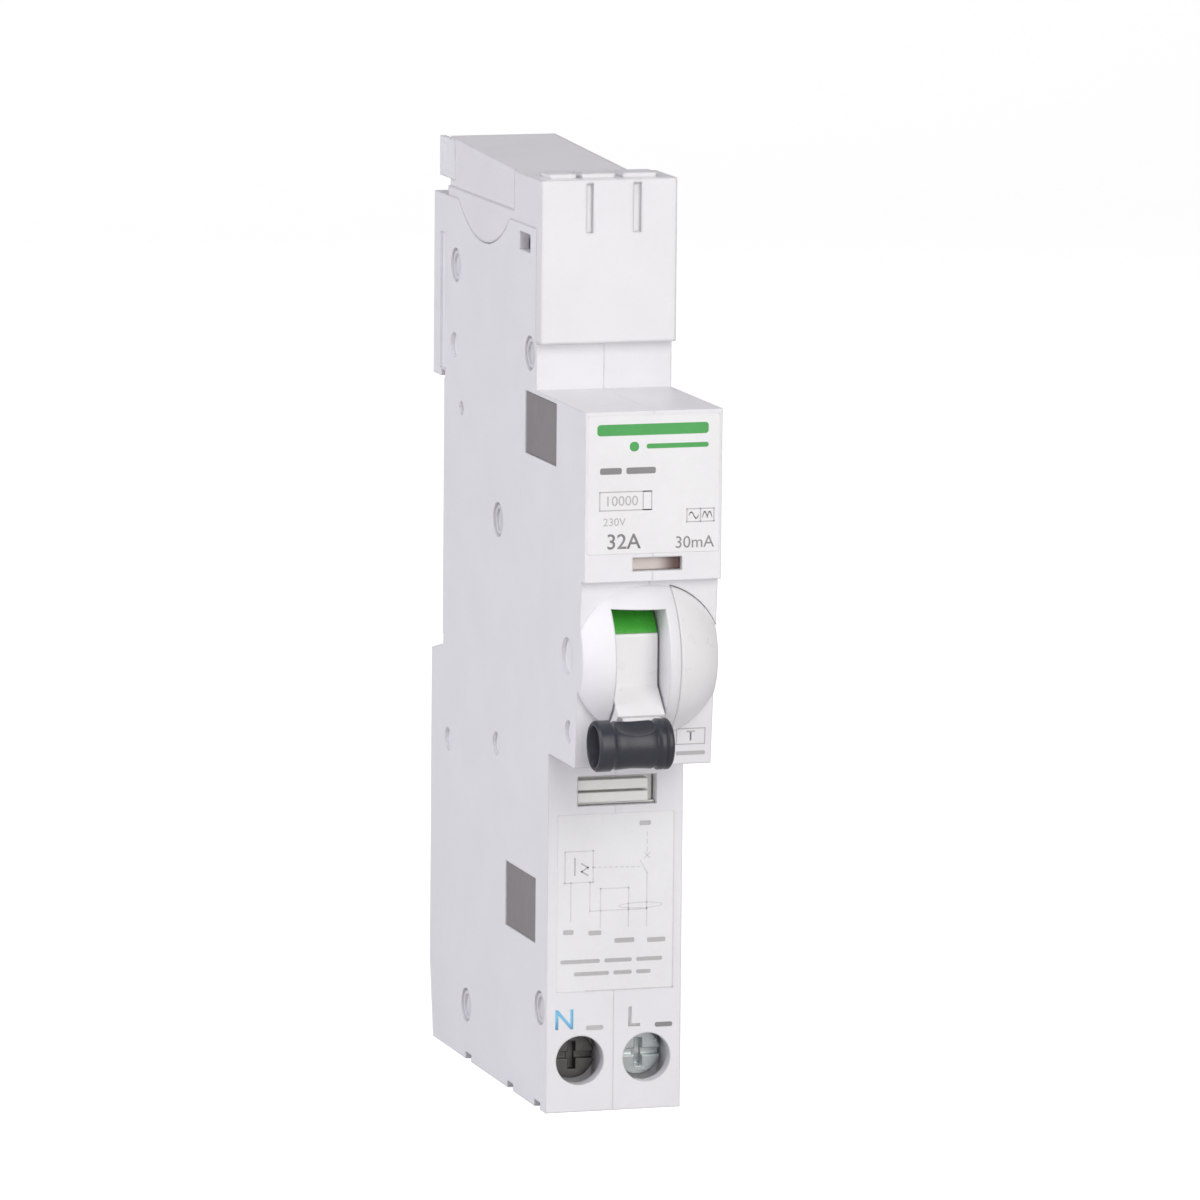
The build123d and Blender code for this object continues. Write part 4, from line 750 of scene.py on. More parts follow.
@dataclass
class FrontDome:
    """Round front of the nose: the fixed skin and the test button, one ball between them.

    Attributes:
        ball_radius: Radius of the ball, in metres.
        drum_radius: Radius of the round rim, in metres.
        skin: Thickness of the skin over the casing's own dome, in metres.
        gap: Gap between the skin and the button, in metres.
        lip: Growth of the button's rim into its pocket, in metres.
        side_gap: Gap between the skin and the casing's left side, in metres.
        skin_depth: Depth of the skin behind the nose's face, in metres.
        button_depth: Depth of the button's round part behind it, in metres.
        stem_left: Stem's left side from the button's, in metres.
        stem_right: Stem's right side from the button's, in metres.
        stem_half: Half the height of the stem, in metres.
        stem_overlap: Reach of the stem into the round part, in metres.
        skin_edge: Rounding of the skin's edges, in metres.
        button_edge: Rounding of the button's edges, in metres.
        slot_gap: Gap beside the lever, in metres.
        slot_up: Top of the slot above the ball's middle, in metres.
        slot_down: Foot of the slot below the ball's middle, in metres.
    """

    ball_radius: float = 11.128 * MM
    drum_radius: float = 9.6 * MM
    skin: float = 0.04 * MM
    gap: float = 0.07 * MM
    lip: float = 0.08 * MM
    side_gap: float = 0.01 * MM
    skin_depth: float = 3.0 * MM
    button_depth: float = 1.1 * MM
    stem_left: float = 0.02 * MM
    stem_right: float = 1.5 * MM
    stem_half: float = 4.5 * MM
    stem_overlap: float = 0.5 * MM
    skin_edge: float = 0.12 * MM
    button_edge: float = 0.2 * MM
    slot_gap: float = 0.24 * MM
    slot_up: float = 6.78 * MM
    slot_down: float = 10.18 * MM

    def middle(self) -> Vector:
        """Finds the middle of the ball from the button's box.

        Returns:
            The middle, in metres.
        """
        low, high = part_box("test_button")
        reach = math.sqrt(self.ball_radius**2 - low.x**2)
        return Vector((0.0, low.y + reach, (low.z + high.z) / 2))

    def _cap(
        self, grow: float, rim_grow: float, left: float, right: float, rear: float
    ) -> bpy.types.Object:
        """Cuts the ball to its round rim and between two sides.

        Args:
            grow: Growth of the ball's radius.
            rim_grow: Growth of the rim's radius.
            left: Left side X.
            right: Right side X.
            rear: Rear Y.

        Returns:
            The cut ball.
        """
        middle = self.middle()
        reach = self.ball_radius + grow
        cap = ball(middle, Vector((reach, reach, reach)), 128, math.pi / 2)
        rim = self.drum_radius + rim_grow
        carve(cap, drum(middle, rim, 4 * self.ball_radius, 160), "INTERSECT")
        room = 2 * self.ball_radius
        low = Vector((left, middle.y - room, middle.z - room))
        high = Vector((right, rear, middle.z + room))
        carve(cap, brick(low, high), "INTERSECT")
        return cap

    def build(self) -> None:
        """Makes the skin and the button."""
        self._skin()
        self._button()

    def _skin(self) -> None:
        """Makes the fixed part, with the lever's slot."""
        middle = self.middle()
        button_low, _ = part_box("test_button")
        casing_low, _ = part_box("left_casing")
        lever_low, lever_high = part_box("toggle_lever")
        rear = NOSE.face_at(middle.z) + self.skin_depth
        left, right = casing_low.x + self.side_gap, button_low.x - self.gap
        skin = self._cap(self.skin, self.skin, left, right, rear)
        room = 3 * self.ball_radius
        low = Vector((lever_low.x - self.slot_gap, middle.y - room, middle.z - self.slot_down))
        high = Vector((lever_high.x + self.slot_gap, middle.y + room, middle.z + self.slot_up))
        carve(skin, brick(low, high), "DIFFERENCE")
        finish_edges(skin, self.skin_edge)
        present(skin, "dome_skin", WHITE_MOULD, "casing")

    def _button(self) -> None:
        """Makes the test button with its stem."""
        low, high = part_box("test_button")
        z = self.middle().z
        rear = NOSE.face_at(z) + self.button_depth
        button = self._cap(0.0, self.lip, low.x, high.x, rear)
        stem_low = Vector((low.x + self.stem_left, rear - self.stem_overlap, z - self.stem_half))
        stem_high = Vector((high.x - self.stem_right, high.y, z + self.stem_half))
        carve(button, brick(stem_low, stem_high), "UNION")
        finish_edges(button, self.button_edge)
        present(button, "test_button_cap", BUTTON_MOULD, "test_button")
        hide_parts("test_button")


@dataclass
class FingerGrip:
    """Dark grip on the lever: two collars, a waist, a thumb scoop and a hollow left end.

    Attributes:
        steps: Faces round the grip.
        hollow: Depth of the hollow end, in metres.
        scoop_depth: Depth of the thumb scoop, in metres.
        scoop_lift: Direction of the scoop above straight ahead, in degrees.
        trim: Length taken off the right end, in metres.
        inset: Depth of the turned surface inside the solid's, in metres.
        scoop_reach: Reach of the scooping ball along X, Y and Z, in metres.
        scoop_right: Scoop's middle right of the grip's, in metres.
        edge: Rounding of the sharp edges, in metres.
        left_outline: Distance from the left end, in millimetres, and share of the radius.
        right_outline: The same from the right end.
        waist: Share of the radius at mid length.
    """

    steps: int = 72
    hollow: float = 3.2 * MM
    scoop_depth: float = 0.95 * MM
    scoop_lift: float = 62.0
    trim: float = 0.45 * MM
    inset: float = 0.01 * MM
    scoop_reach: Triple = (5.2 * MM, 5.0 * MM, 5.001 * MM)
    scoop_right: float = 0.2 * MM
    edge: float = 0.12 * MM
    left_outline: tuple[Point, ...] = (
        (0.25, 0.78),
        (0.0, 0.83),
        (0.0, 0.92),
        (0.3, 1.0),
        (1.9, 1.0),
        (2.15, 0.93),
        (2.4, 0.91),
        (2.7, 0.95),
        (3.6, 0.93),
    )
    right_outline: tuple[Point, ...] = (
        (3.2, 0.93),
        (2.4, 0.95),
        (2.1, 0.91),
        (1.85, 0.93),
        (1.6, 1.0),
        (1.05, 1.0),
        (0.85, 0.95),
        (0.65, 1.0),
        (0.25, 1.0),
        (0.0, 0.92),
        (0.0, 0.0),
    )
    waist: float = 0.91

    def build(self) -> None:
        """Turns, scoops and finishes the grip."""
        low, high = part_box("toggle_grip")
        left, right = low.x, high.x - self.trim
        radius = (high.z - low.z) / 2 - self.inset
        y, z = (low.y + high.y) / 2, (low.z + high.z) / 2
        floor_share = 0.66
        outline = [(left + self.hollow, 0.0), (left + self.hollow, radius * floor_share)]
        outline += [(left + x * MM, radius * share) for x, share in self.left_outline]
        outline.append(((left + right) / 2, radius * self.waist))
        outline += [(right - x * MM, radius * share) for x, share in self.right_outline]
        grip = lathe(outline, y, z, self.steps)
        lift = math.radians(self.scoop_lift)
        away = Vector((0.0, -math.cos(lift), math.sin(lift)))
        reach = Vector(self.scoop_reach)
        middle = Vector(((left + right) / 2 + self.scoop_right, y, z))
        centre = middle + away * (radius + reach.y - self.scoop_depth)
        carve(grip, ball(centre, reach, 64), "DIFFERENCE")
        finish_edges(grip, self.edge, 28.0)
        present(grip, "finger_grip", GRIP_MOULD, "toggle")
        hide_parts("toggle_grip")


# ---- printing ---------------------------------------------------------------------
@dataclass
class InkSheet:
    """Printed marks on one flat front face, all of one ink.

    The marks are measured in millimetres, to the right of the sheet's corner and down from it.

    Attributes:
        name: Name of the piece.
        face: Y of the printed face, in metres.
        finish: Ink.
        left: X of the corner, in metres.
        top: Z of the corner, in metres.
        lean: Turn of the face about X from upright, in radians.
        pivot: Height about which the face leans, in metres.
        film: Thickness of the ink, in metres.
        sink: Share of the film that lies in the face.
        stroke: Width of a stroke, in millimetres.
        parts: Marks drawn so far.
    """

    name: str
    face: float
    finish: Finish
    left: float
    top: float
    lean: float = 0.0
    pivot: float = 0.0
    film: float = 0.03 * MM
    sink: float = 0.3
    stroke: float = 0.13
    parts: list[bpy.types.Object] = field(default_factory=list)

    def _at(self, x: float, drop: float) -> Vector:
        """Point in the drawing plane, in metres.

        Args:
            x: Distance right of the corner.
            drop: Distance below the corner.

        Returns:
            The point.
        """
        return Vector((self.left + x * MM, self.top - drop * MM, 0.0))

    def _keep(self, piece: bpy.types.Object) -> None:
        """Settles a flat shape and puts it in the list.

        Args:
            piece: Shape drawn in X and Y, in metres.
        """
        settle(piece)
        self.parts.append(piece)

    def bar(self, left: float, right: float, top: float, foot: float, corner: float) -> None:
        """Prints a filled bar.

        Args:
            left: Left edge.
            right: Right edge.
            top: Drop of the upper edge.
            foot: Drop of the lower edge.
            corner: Corner radius as a share of the height.
        """
        deselect()
        middle = self._at((left + right) / 2, (top + foot) / 2)
        bpy.ops.mesh.primitive_plane_add(size=1.0, location=middle)
        piece = bpy.context.object
        piece.scale = ((right - left) * MM, (foot - top) * MM, 1.0)
        settle(piece)
        bpy.ops.object.mode_set(mode="EDIT")
        bpy.ops.mesh.select_all(action="SELECT")
        radius = (foot - top) * MM * corner
        bpy.ops.mesh.bevel(offset=radius, offset_pct=0, segments=4, affect="VERTICES")
        bpy.ops.object.mode_set(mode="OBJECT")
        self.parts.append(piece)

    def line(self, start: Point, end: Point) -> None:
        """Prints a straight stroke.

        Args:
            start: First end.
            end: Other end.
        """
        deselect()
        first, last = self._at(*start), self._at(*end)
        along = last - first
        bpy.ops.mesh.primitive_plane_add(size=1.0, location=(first + last) / 2)
        piece = bpy.context.object
        width = self.stroke * MM
        piece.scale = (along.length + width, width, 1.0)
        piece.rotation_euler = (0.0, 0.0, math.atan2(along.y, along.x))
        self._keep(piece)

    def path(self, points: Sequence[Point]) -> None:
        """Prints a stroke through several points.

        Args:
            points: Points in order.
        """
        for start, end in zip(points, points[1:]):
            self.line(start, end)

    def box(self, left: float, right: float, top: float, foot: float) -> None:
        """Prints an outlined box.

        Args:
            left: Left edge.
            right: Right edge.
            top: Drop of the upper edge.
            foot: Drop of the lower edge.
        """
        self.path([(left, foot), (right, foot), (right, top), (left, top), (left, foot)])

    def dashes(self, start: Point, end: Point, count: int) -> None:
        """Prints a dashed stroke.

        Args:
            start: First end.
            end: Other end.
            count: Number of dashes.
        """
        reach = (end[0] - start[0], end[1] - start[1])
        for index in range(count):
            shares = (index / count, (index + 0.5) / count)
            self.path([(start[0] + reach[0] * share, start[1] + reach[1] * share) for share in shares])

    def oval(self, x: float, drop: float, reach_x: float, reach_z: float) -> None:
        """Prints an outlined oval.

        Args:
            x: Centre's distance right.
            drop: Centre's drop.
            reach_x: Half its width.
            reach_z: Half its height.
        """
        deselect()
        bpy.ops.mesh.primitive_circle_add(vertices=40, radius=1.0, fill_type="NOTHING")
        ring = bpy.context.object
        ring.scale = (reach_x * MM, reach_z * MM, 1.0)
        settle(ring)
        bpy.ops.object.mode_set(mode="EDIT")
        bpy.ops.mesh.select_all(action="SELECT")
        inner = ((reach_x - self.stroke) / reach_x, (reach_z - self.stroke) / reach_z, 1.0)
        bpy.ops.mesh.extrude_region_move()
        bpy.ops.transform.resize(value=inner)
        bpy.ops.mesh.select_all(action="SELECT")
        bpy.ops.mesh.normals_make_consistent(inside=False)
        bpy.ops.object.mode_set(mode="OBJECT")
        if ring.data.polygons[0].normal.z < 0.0:
            bpy.ops.object.mode_set(mode="EDIT")
            bpy.ops.mesh.flip_normals()
            bpy.ops.object.mode_set(mode="OBJECT")
        ring.location = self._at(x, drop)
        self._keep(ring)

    def words(self, text: str, x: float, drop: float, height: float, bold: float = 0.0) -> None:
        """Prints generic characters, centred.

        Args:
            text: The characters.
            x: Centre's distance right.
            drop: Centre's drop.
            height: Height of a capital.
            bold: Outline growth as a share of the height.
        """
        deselect()
        bpy.ops.object.text_add(location=self._at(x, drop))
        piece = bpy.context.object
        piece.data.body = text
        piece.data.align_x = "CENTER"
        piece.data.align_y = "CENTER"
        piece.data.size = height * MM * SIZE_PER_CAPITAL
        piece.data.offset = bold * height * MM
        piece.data.resolution_u = 4
        bpy.ops.object.convert(target="MESH")
        self._keep(bpy.context.object)

    def sentence(self, left: float, drop: float, words: tuple[float, ...]) -> None:
        """Prints a row of bars that stands for a line of words.

        Args:
            left: Start.
            drop: Middle's drop.
            words: Length of each word.
        """
        half, space, corner = 0.25, 0.6, 0.4
        for length in words:
            self.bar(left, left + length, drop - half, drop + half, corner)
            left += length + space

    def print(self) -> None:
        """Joins the marks, lays them on the casing's face and gives them the ink.
        """
        piece = weld(self.parts, self.name)
        place = Matrix.Translation((0.0, self.face + self.film * self.sink, 0.0)) @ FRONT
        if self.lean:
            about = Matrix.Translation((0.0, self.face, self.pivot))
            place = about @ Matrix.Rotation(self.lean, 4, "X") @ about.inverted() @ place
        piece.data.transform(place)
        focus(piece)
        bpy.ops.object.mode_set(mode="EDIT")
        bpy.ops.mesh.select_all(action="SELECT")
        bpy.ops.mesh.remove_doubles(threshold=INK_WELD)
        bpy.ops.object.mode_set(mode="OBJECT")
        thick = piece.modifiers.new("film", "SOLIDIFY")
        thick.thickness = self.film
        thick.offset = 1.0
        bpy.ops.object.modifier_apply(modifier=thick.name)
        present(piece, self.name, self.finish, "casing")


@dataclass
class RatingBlock:
    """Printing of the nose's label: maker's bars, an outlined box and plain ratings.

    Attributes:
        maker_bars: Left, right, top, foot and corner share of each green bar.
        name_bars: The same for the grey bars that stand for a name.
        ratings: Characters, centre, height and boldness of each rating.
        breaking_box: Left, right, top and foot of the box round the breaking rating.
        class_split: Left of the small field in that box.
        pale_ratings: The same as the ratings, in the paler ink.
        current_box: Left, right, top and foot of the box with the two current shapes.
        margin: Space beside each current shape.
    """

    maker_bars: tuple[tuple[float, ...], ...] = (
        (1.0, 15.4, 0.9, 2.3, 0.3),
        (7.4, 15.4, 3.4, 4.0, 0.4),
        (5.2, 6.4, 3.1, 4.3, 0.45),
    )
    name_bars: tuple[tuple[float, ...], ...] = (
        (1.4, 4.2, 6.3, 7.1, 0.3),
        (4.8, 8.6, 6.3, 7.1, 0.3),
    )
    ratings: tuple[tuple[str, float, float, float, float], ...] = (
        ("32A", 4.5, 15.6, 1.9, 0.01),
        ("30mA", 13.7, 15.9, 1.5, 0.0),
    )
    breaking_box: Box = (1.4, 8.1, 9.3, 11.6)
    class_split: float = 7.0
    pale_ratings: tuple[tuple[str, float, float, float], ...] = (
        ("10000", 4.2, 10.5, 1.25),
        ("230V", 3.3, 13.1, 1.0),
    )
    current_box: Box = (12.7, 16.2, 11.7, 13.3)
    margin: float = 0.25

    def build(self) -> None:
        """Prints the three inks."""
        low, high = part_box(RATING_FILM.node)
        corner = (low.x, high.z)
        green = InkSheet("maker_bars", RATING_FILM.front, INK_GREEN, *corner)
        for bar in self.maker_bars:
            green.bar(*bar)
        green.print()
        grey = InkSheet("rating_marks", RATING_FILM.front, INK_GREY, *corner)
        for bar in self.name_bars:
            grey.bar(*bar)
        for rating in self.ratings:
            grey.words(*rating)
        grey.print()
        pale = InkSheet("rating_lines", RATING_FILM.front, INK_PALE, *corner)
        self._breaking_rating(pale)
        self._current_shapes(pale)
        pale.print()

    def _breaking_rating(self, sheet: InkSheet) -> None:
        """Prints the boxed breaking rating and the voltage below it.

        Args:
            sheet: Ink sheet.
        """
        _, right, top, foot = self.breaking_box
        sheet.box(*self.breaking_box)
        sheet.box(self.class_split, right, top, foot)
        for rating in self.pale_ratings:
            sheet.words(*rating)

    def _current_shapes(self, sheet: InkSheet) -> None:
        """Prints the boxed sine wave and pulses.

        Args:
            sheet: Ink sheet.
        """
        left, right, top, foot = self.current_box
        middle = (left + right) / 2
        sheet.box(*self.current_box)
        sheet.line((middle, foot), (middle, top))
        wave_drop, wave_reach, wave_steps = 12.5, 0.4, 12
        pulse_drop, pulse_reach, pulse_steps = 12.8, 0.7, 16
        wave, pulses = [], []
        start, span = left + self.margin, middle - left - 2 * self.margin
        for step in range(wave_steps + 1):
            lift = math.sin(2 * math.pi * step / wave_steps)
            wave.append((start + span * step / wave_steps, wave_drop - wave_reach * lift))
        start = middle + self.margin
        for step in range(pulse_steps + 1):
            lift = abs(math.sin(2 * math.pi * step / pulse_steps))
            pulses.append((start + span * step / pulse_steps, pulse_drop - pulse_reach * lift))
        sheet.path(wave)
        sheet.path(pulses)


@dataclass
class TestMark:
    """Boxed letter and small bar below the test button.

    Attributes:
        inset: Left edge's distance from the right side, in metres.
        rise: Top edge above the grip's foot, in metres.
        pivot_rise: Height above the grip's foot where the leaning face is met, in metres.
        outline: Left, right, top and foot of the box.
        bar: Left, right, top, foot and corner share of the bar.
        letter: Character, centre, height and boldness.
    """

    inset: float = 4.6 * MM
    rise: float = 3.7 * MM
    pivot_rise: float = 3.0 * MM
    outline: Box = (0.0, 3.7, 0.0, 2.0)
    bar: tuple[float, ...] = (0.0, 3.8, 2.9, 3.4, 0.3)
    letter: tuple[str, float, float, float, float] = ("T", 1.85, 1.0, 1.3, 0.01)

    def build(self) -> None:
        """Prints the mark."""
        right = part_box("right_casing")[1].x
        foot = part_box("toggle_grip")[0].z
        pivot = foot + self.pivot_rise
        corner = (right - self.inset, foot + self.rise)
        sheet = InkSheet("test_mark", NOSE.face_at(pivot), INK_PALE, *corner, NOSE.lean, pivot)
        sheet.box(*self.outline)
        sheet.words(*self.letter)
        sheet.bar(*self.bar)
        sheet.print()


@dataclass
class WiringDiagram:
    """Diagram of the trip unit, the switch, the toroid and the leads.

    Attributes:
        unit_box: Left, right, top and foot of the trip unit's box.
        pole: Distance right of the switched pole.
        incoming: Distance right of the incoming neutral.
        neutral: Distance right of the outgoing neutral.
        sense: Distance right of the sensing lead.
        earth: Distance right of the earth lead.
        lead_foot: Drop of the leads' lower ends.
        pivot_drop: Drop of the switch's pivot.
        cross_half: Half the width and height of the cross on the switch.
        captions: Centre's distance right, its drop and the width of each caption's bar.
        sentences: Start, drop and word lengths of each line of small words.
        toroid: Centre's distance right, its drop, half the width and half the height.
        border: Points of the thin line along the label's edge.
        sign: Points of each stroke of the trip unit's sign.
        sign_stroke: Width of those strokes.
    """

    unit_box: Box = (0.8, 4.5, 4.5, 8.5)
    pole: float = 11.6
    incoming: float = 5.5
    neutral: float = 9.2
    sense: float = 4.1
    earth: float = 1.6
    lead_foot: float = 14.4
    pivot_drop: float = 7.6
    cross_half: float = 0.35
    captions: tuple[Triple, ...] = (
        (11.3, 1.2, 1.5),
        (1.3, 14.8, 1.4),
        (4.8, 15.0, 1.7),
        (8.7, 16.1, 2.6),
        (12.9, 16.2, 2.4),
    )
    sentences: tuple[tuple[float, float, Triple], ...] = (
        (0.3, 18.6, (5.2, 3.6, 3.4)),
        (2.1, 20.2, (4.6, 2.4, 1.9)),
    )
    toroid: Box = (10.8, 11.7, 2.9, 0.42)
    border: tuple[Point, ...] = ((15.1, 0.0), (15.1, 22.4), (3.6, 22.4))
    sign: tuple[tuple[Point, ...], ...] = (
        ((2.1, 7.5), (2.1, 5.4)),
        ((3.0, 6.1), (3.8, 6.6), (3.0, 7.1), (3.8, 7.6)),
    )
    sign_stroke: float = 0.2

    def build(self) -> None:
        """Prints the thin lines and the captions."""
        low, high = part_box(WIRING_FILM.node)
        corner = (low.x, high.z)
        pale = InkSheet("wiring_lines", WIRING_FILM.front, INK_FAINT, *corner)
        pale.box(*self.unit_box)
        self._switch(pale)
        self._leads(pale)
        pale.path(self.border)
        pale.print()
        grey = InkSheet("wiring_captions", WIRING_FILM.front, INK_PALE, *corner)
        grey.stroke = self.sign_stroke
        for stroke in self.sign:
            grey.path(stroke)
        half, corner_share = 0.3, 0.3
        for x, drop, width in self.captions:
            grey.bar(x - width / 2, x + width / 2, drop - half, drop + half, corner_share)
        for sentence in self.sentences:
            grey.sentence(*sentence)
        grey.print()

    def _switch(self, sheet: InkSheet) -> None:
        """Prints the pole with its open switch, its cross and the link to the trip unit.

        Args:
            sheet: Ink sheet.
        """
        link_start, link_end, link_dashes = (self.unit_box[1], 6.6), (self.pole - 0.6, 6.8), 9
        supply_top, supply_foot, supply_dashes = (self.pole, 2.4), (self.pole, 5.3), 3
        arm_tip, pivot = (self.pole - 0.9, 6.0), (self.pole, self.pivot_drop)
        cross_top = 5.0
        sheet.dashes(link_start, link_end, link_dashes)
        sheet.dashes(supply_top, supply_foot, supply_dashes)
        sheet.path([arm_tip, pivot, (self.pole, self.lead_foot)])
        left, right = self.pole - self.cross_half, self.pole + self.cross_half
        top, foot = cross_top, cross_top + 2 * self.cross_half
        sheet.line((left, foot), (right, top))
        sheet.line((left, top), (right, foot))

    def _leads(self, sheet: InkSheet) -> None:
        """Prints the toroid, the neutral's loop through it, the sensing lead and the earth lead.

        Args:
            sheet: Ink sheet.
        """
        crossing, return_drop, unit_foot, earth_foot = 9.4, 12.2, self.unit_box[3], 13.4
        sheet.oval(*self.toroid)
        sheet.path(
            [
                (self.incoming, self.lead_foot),
                (self.incoming, crossing),
                (self.neutral, crossing),
                (self.neutral, self.lead_foot),
            ]
        )
        sheet.path([(self.sense, unit_foot), (self.sense, return_drop), (self.pole, return_drop)])
        sheet.line((self.earth, unit_foot), (self.earth, earth_foot))


@dataclass
class TerminalMark:
    """Letter and small bar above one terminal.

    Attributes:
        name: Name of the letter's piece.
        letter: The letter.
        node: Screw below it.
        ink: Ink of the letter.
        note_ink: Ink of the bar.
        shift: Letter's middle right of the screw's, in metres.
        rise: Letter's middle above the screw's top, in metres.
        note: Left, right, top, foot and corner share of the bar, from the letter's middle.
        height: Height of the letter, in millimetres.
        bold: Outline growth as a share of the height.
    """

    name: str
    letter: str
    node: str
    ink: Finish
    note_ink: Finish
    shift: float
    rise: float = 2.3 * MM
    note: tuple[float, ...] = (2.85, 5.15, 0.75, 1.35, 0.4)
    height: float = 2.6
    bold: float = 0.012

    def build(self) -> None:
        """Prints the letter and the bar."""
        low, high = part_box(self.node)
        corner = ((low.x + high.x) / 2 + self.shift, high.z + self.rise)
        sheet = InkSheet(self.name, NOSE.lower_face, self.ink, *corner)
        sheet.words(self.letter, 0.0, 0.0, self.height, self.bold)
        sheet.print()
        note = InkSheet(self.name + "_note", NOSE.lower_face, self.note_ink, *corner)
        note.bar(*self.note)
        note.print()


TERMINAL_MARKS = (
    TerminalMark("neutral_letter", "N", "terminal_screw_n", INK_BLUE, INK_PALE, -2.1 * MM),
    TerminalMark("line_letter", "L", "terminal_screw_l", INK_PALE, INK_GREY, -1.8 * MM),
)


# ---- stage ------------------------------------------------------------------------
def bearing(azimuth: float, elevation: float) -> Vector:
    """Direction towards a point of the studio, seen from the device.

    Args:
        azimuth: Turn from straight ahead, in degrees.
        elevation: Height angle, in degrees.

    Returns:
        The unit direction.
    """
    turn, lift = math.radians(azimuth), math.radians(elevation)
    return Vector((math.sin(turn) * math.cos(lift), -math.cos(turn) * math.cos(lift), math.sin(lift)))


@dataclass(frozen=True)
class SoftBox:
    """Soft rectangular lamp.

    Attributes:
        name: Lamp's name.
        azimuth: Turn from straight ahead, in degrees.
        elevation: Height angle, in degrees.
        distance: Distance from the device's middle, in metres.
        size: Width, in metres.
        power: Power, in watts.
        colour: Colour of its light.
        tall: Height as a share of the width.
    """

    name: str
    azimuth: float
    elevation: float
    distance: float
    size: float
    power: float
    colour: Colour
    tall: float = 1.2

    def hang(self, centre: Vector) -> None:
        """Hangs the lamp so that it looks at a point.

        Args:
            centre: The point.
        """
        lamp = bpy.data.lights.new(self.name, "AREA")
        lamp.shape = "RECTANGLE"
        lamp.size = self.size
        lamp.size_y = self.size * self.tall
        lamp.energy = self.power
        lamp.color = self.colour
        piece = bpy.data.objects.new(self.name, lamp)
        bpy.context.scene.collection.objects.link(piece)
        back = bearing(self.azimuth, self.elevation)
        piece.location = centre + back * self.distance
        piece.rotation_euler = back.to_track_quat("Z", "Y").to_euler()


@dataclass
class Floor:
    """Pale paper that runs under the device and curves up behind it.

    Attributes:
        size: Width and length, in metres.
        shift: Middle of the paper behind the device's front plane, in metres.
        wall: Height of the part behind, in metres.
        fold: Width of the curve, in metres.
        colour: Paper colour, linear.
        glow: Strength that only the camera sees, so that the paper shows white.
    """

    size: float = 2.4
    shift: float = 0.2
    wall: float = 1.6
    fold: float = 0.5
    colour: Colour = (0.6, 0.6, 0.605)
    glow: float = 0.72

    def build(self, height: float) -> None:
        """Lays the paper.

        Args:
            height: Z of the floor.
        """
        deselect()
        bpy.ops.mesh.primitive_plane_add(size=self.size, location=(0.0, self.shift, height))
        floor = bpy.context.object
        settle(floor)
        bpy.ops.object.mode_set(mode="EDIT")
        bpy.ops.mesh.select_all(action="DESELECT")
        bpy.ops.object.mode_set(mode="OBJECT")
        for vertex in floor.data.vertices:
            vertex.select = vertex.co.y > self.shift
        for edge in floor.data.edges:
            edge.select = all(floor.data.vertices[index].select for index in edge.vertices)
        bpy.ops.object.mode_set(mode="EDIT")
        bpy.ops.mesh.extrude_region_move(TRANSFORM_OT_translate={"value": (0.0, 0.0, self.wall)})
        bpy.ops.mesh.select_all(action="DESELECT")
        bpy.ops.object.mode_set(mode="OBJECT")
        curve = floor.modifiers.new("fold", "BEVEL")
        curve.width = self.fold
        curve.segments = 12
        focus(floor)
        bpy.ops.object.modifier_apply(modifier=curve.name)
        bpy.ops.object.shade_smooth()
        floor.name = "stage_floor"
        floor.data.materials.append(self._paper())

    def _paper(self) -> bpy.types.Material:
        """Mixes the paper, which only the camera sees glow.

        Returns:
            The material.
        """
        sheet = Sheet("stage_paper")
        shader = sheet.add("BsdfPrincipled")
        shader.inputs["Base Color"].default_value = (*self.colour, 1.0)
        weave = sheet.noise(sheet.position(), 30.0, 2.0)
        sheet.join(sheet.spread(weave, 0.86, 0.94), shader.inputs["Roughness"])
        shader.inputs["Emission Color"].default_value = (1.0, 1.0, 1.0, 1.0)
        seen = sheet.add("Math", operation="MULTIPLY")
        sheet.join(sheet.add("LightPath").outputs["Is Camera Ray"], seen.inputs[0])
        seen.inputs[1].default_value = self.glow
        sheet.join(seen.outputs["Value"], shader.inputs["Emission Strength"])
        out = sheet.add("OutputMaterial")
        sheet.join(shader.outputs["BSDF"], out.inputs["Surface"])
        return sheet.material


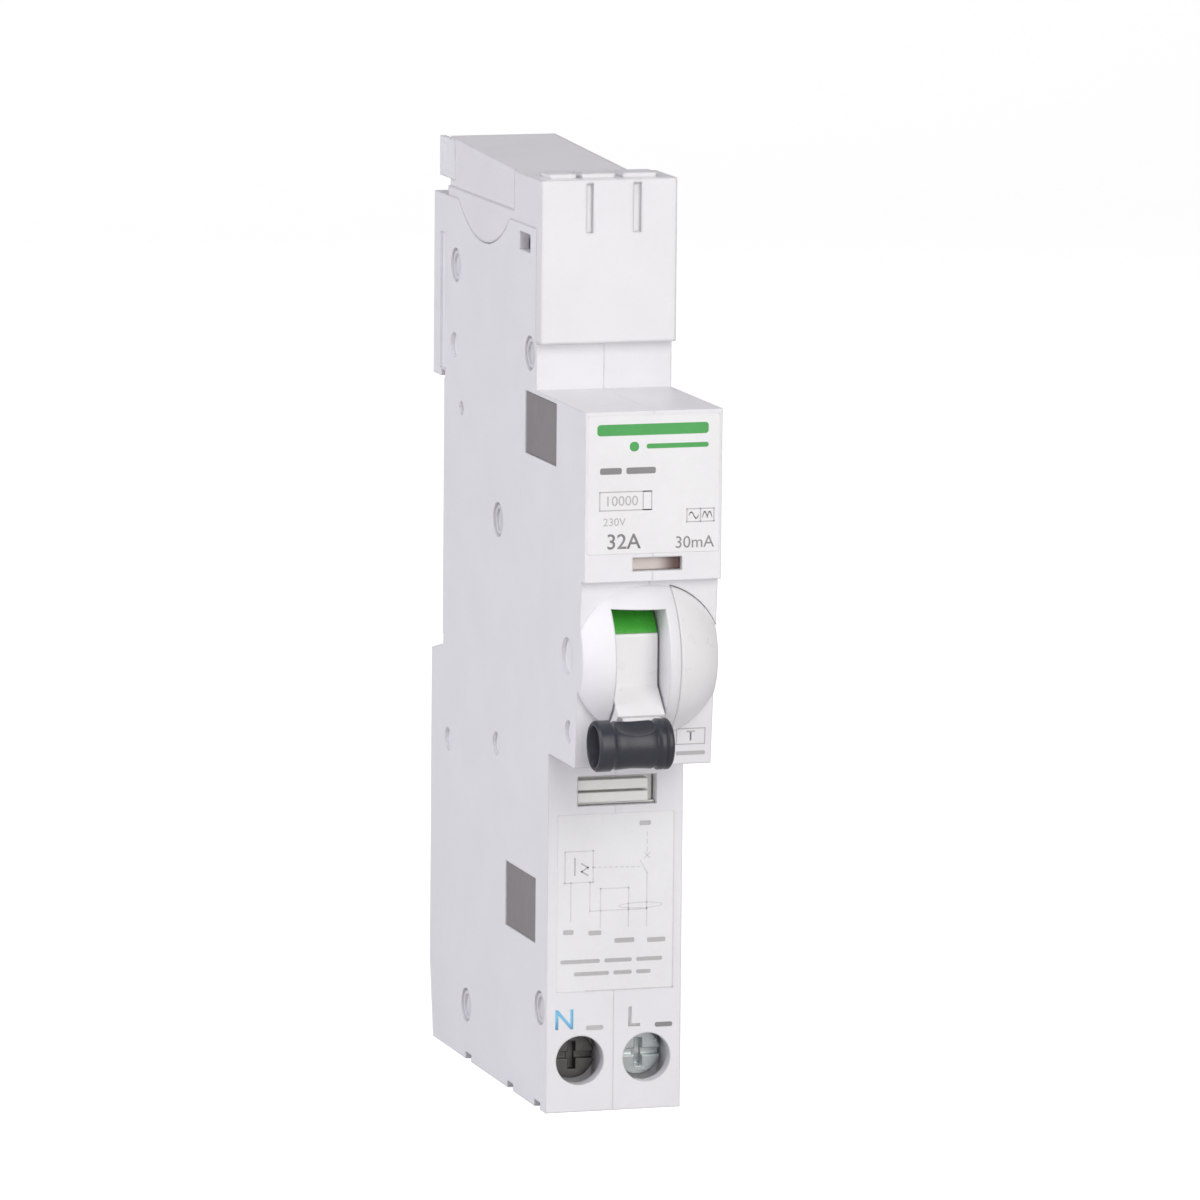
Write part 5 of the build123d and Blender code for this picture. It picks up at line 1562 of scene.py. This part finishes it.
@dataclass
class Studio:
    """Floor, surround, lamps and camera.

    Attributes:
        centre: Middle of the device, in metres.
        azimuth: Camera's turn from straight ahead, in degrees.
        elevation: Camera's height angle, in degrees.
        roll: Turn of the picture, in degrees.
        distance: Camera distance, in metres.
        lens: Focal length, in millimetres.
        sensor: Width of the sensor, in millimetres.
        aim_right: Aim point right of the device's middle, in metres.
        aim_up: Aim point above the device's middle, in metres.
        surround: Colour of the even light all round.
        surround_strength: Strength of that light.
        lamps: Soft boxes.
    """

    centre: tuple[float, float, float] = (0.0, -32.0 * MM, -11.0 * MM)
    azimuth: float = -17.16
    elevation: float = 8.744
    roll: float = -0.536
    distance: float = 1.1886
    lens: float = 280.9
    sensor: float = 36.0
    aim_right: float = 2.51 * MM
    aim_up: float = 3.17 * MM
    surround: Colour = (0.97, 0.96, 1.0)
    surround_strength: float = 0.38
    lamps: tuple[SoftBox, ...] = (
        SoftBox("key", 8.0, 24.0, 0.75, 0.55, 3.55, (1.0, 0.985, 0.955)),
        SoftBox("fill", -85.0, 22.0, 0.8, 0.6, 3.7, (0.965, 0.95, 1.0)),
        SoftBox("top", 170.0, 70.0, 0.9, 0.6, 0.9, (0.98, 0.965, 1.0)),
    )

    def build(self) -> None:
        """Builds the stage."""
        Floor().build(CAD_BOX[0].z)
        self._surround()
        self._camera()
        for lamp in self.lamps:
            lamp.hang(Vector(self.centre))

    def _surround(self) -> None:
        """Sets an even pale surround."""
        world = bpy.data.worlds.new("studio_surround")
        world.use_nodes = True
        back = world.node_tree.nodes["Background"]
        back.inputs["Color"].default_value = (*self.surround, 1.0)
        back.inputs["Strength"].default_value = self.surround_strength
        bpy.context.scene.world = world
        bpy.context.scene.view_settings.view_transform = "Standard"

    def _camera(self) -> None:
        """Places the camera."""
        back = bearing(self.azimuth, self.elevation)
        turn, roll = math.radians(self.azimuth), math.radians(self.roll)
        right = Vector((math.cos(turn), math.sin(turn), 0.0))
        up = back.cross(right)
        aim = Vector(self.centre) + right * self.aim_right + up * self.aim_up
        side = right * math.cos(roll) - up * math.sin(roll)
        top = right * math.sin(roll) + up * math.cos(roll)
        lens = bpy.data.cameras.new("camera")
        lens.lens = self.lens
        lens.sensor_width = self.sensor
        lens.clip_start = 0.05
        lens.clip_end = 20.0
        camera = bpy.data.objects.new("camera", lens)
        bpy.context.scene.collection.objects.link(camera)
        axes = Matrix((side, top, back)).transposed().to_4x4()
        camera.matrix_world = Matrix.Translation(aim + back * self.distance) @ axes
        bpy.context.scene.camera = camera


def dress_nodes() -> None:
    """Gives every CAD node its finish."""
    for finish, nodes in NODE_FINISHES.items():
        for name in nodes:
            node = frame["nodes"][name]
            material = finish.material()
            for slot in node.material_slots:
                slot.material = material
            if not node.material_slots:
                node.data.materials.append(material)
        LOG.info("%s dresses %s", finish.name, ", ".join(nodes))


def main() -> None:
    """Builds the scene."""
    logging.basicConfig(level=logging.INFO, format="%(name)s: %(message)s")
    dress_nodes()
    RATING_FILM.build()
    WIRING_FILM.build()
    FrontDome().build()
    FingerGrip().build()
    RatingBlock().build()
    TestMark().build()
    WiringDiagram().build()
    for mark in TERMINAL_MARKS:
        mark.build()
    Studio().build()


if __name__ == "__main__":
    main()
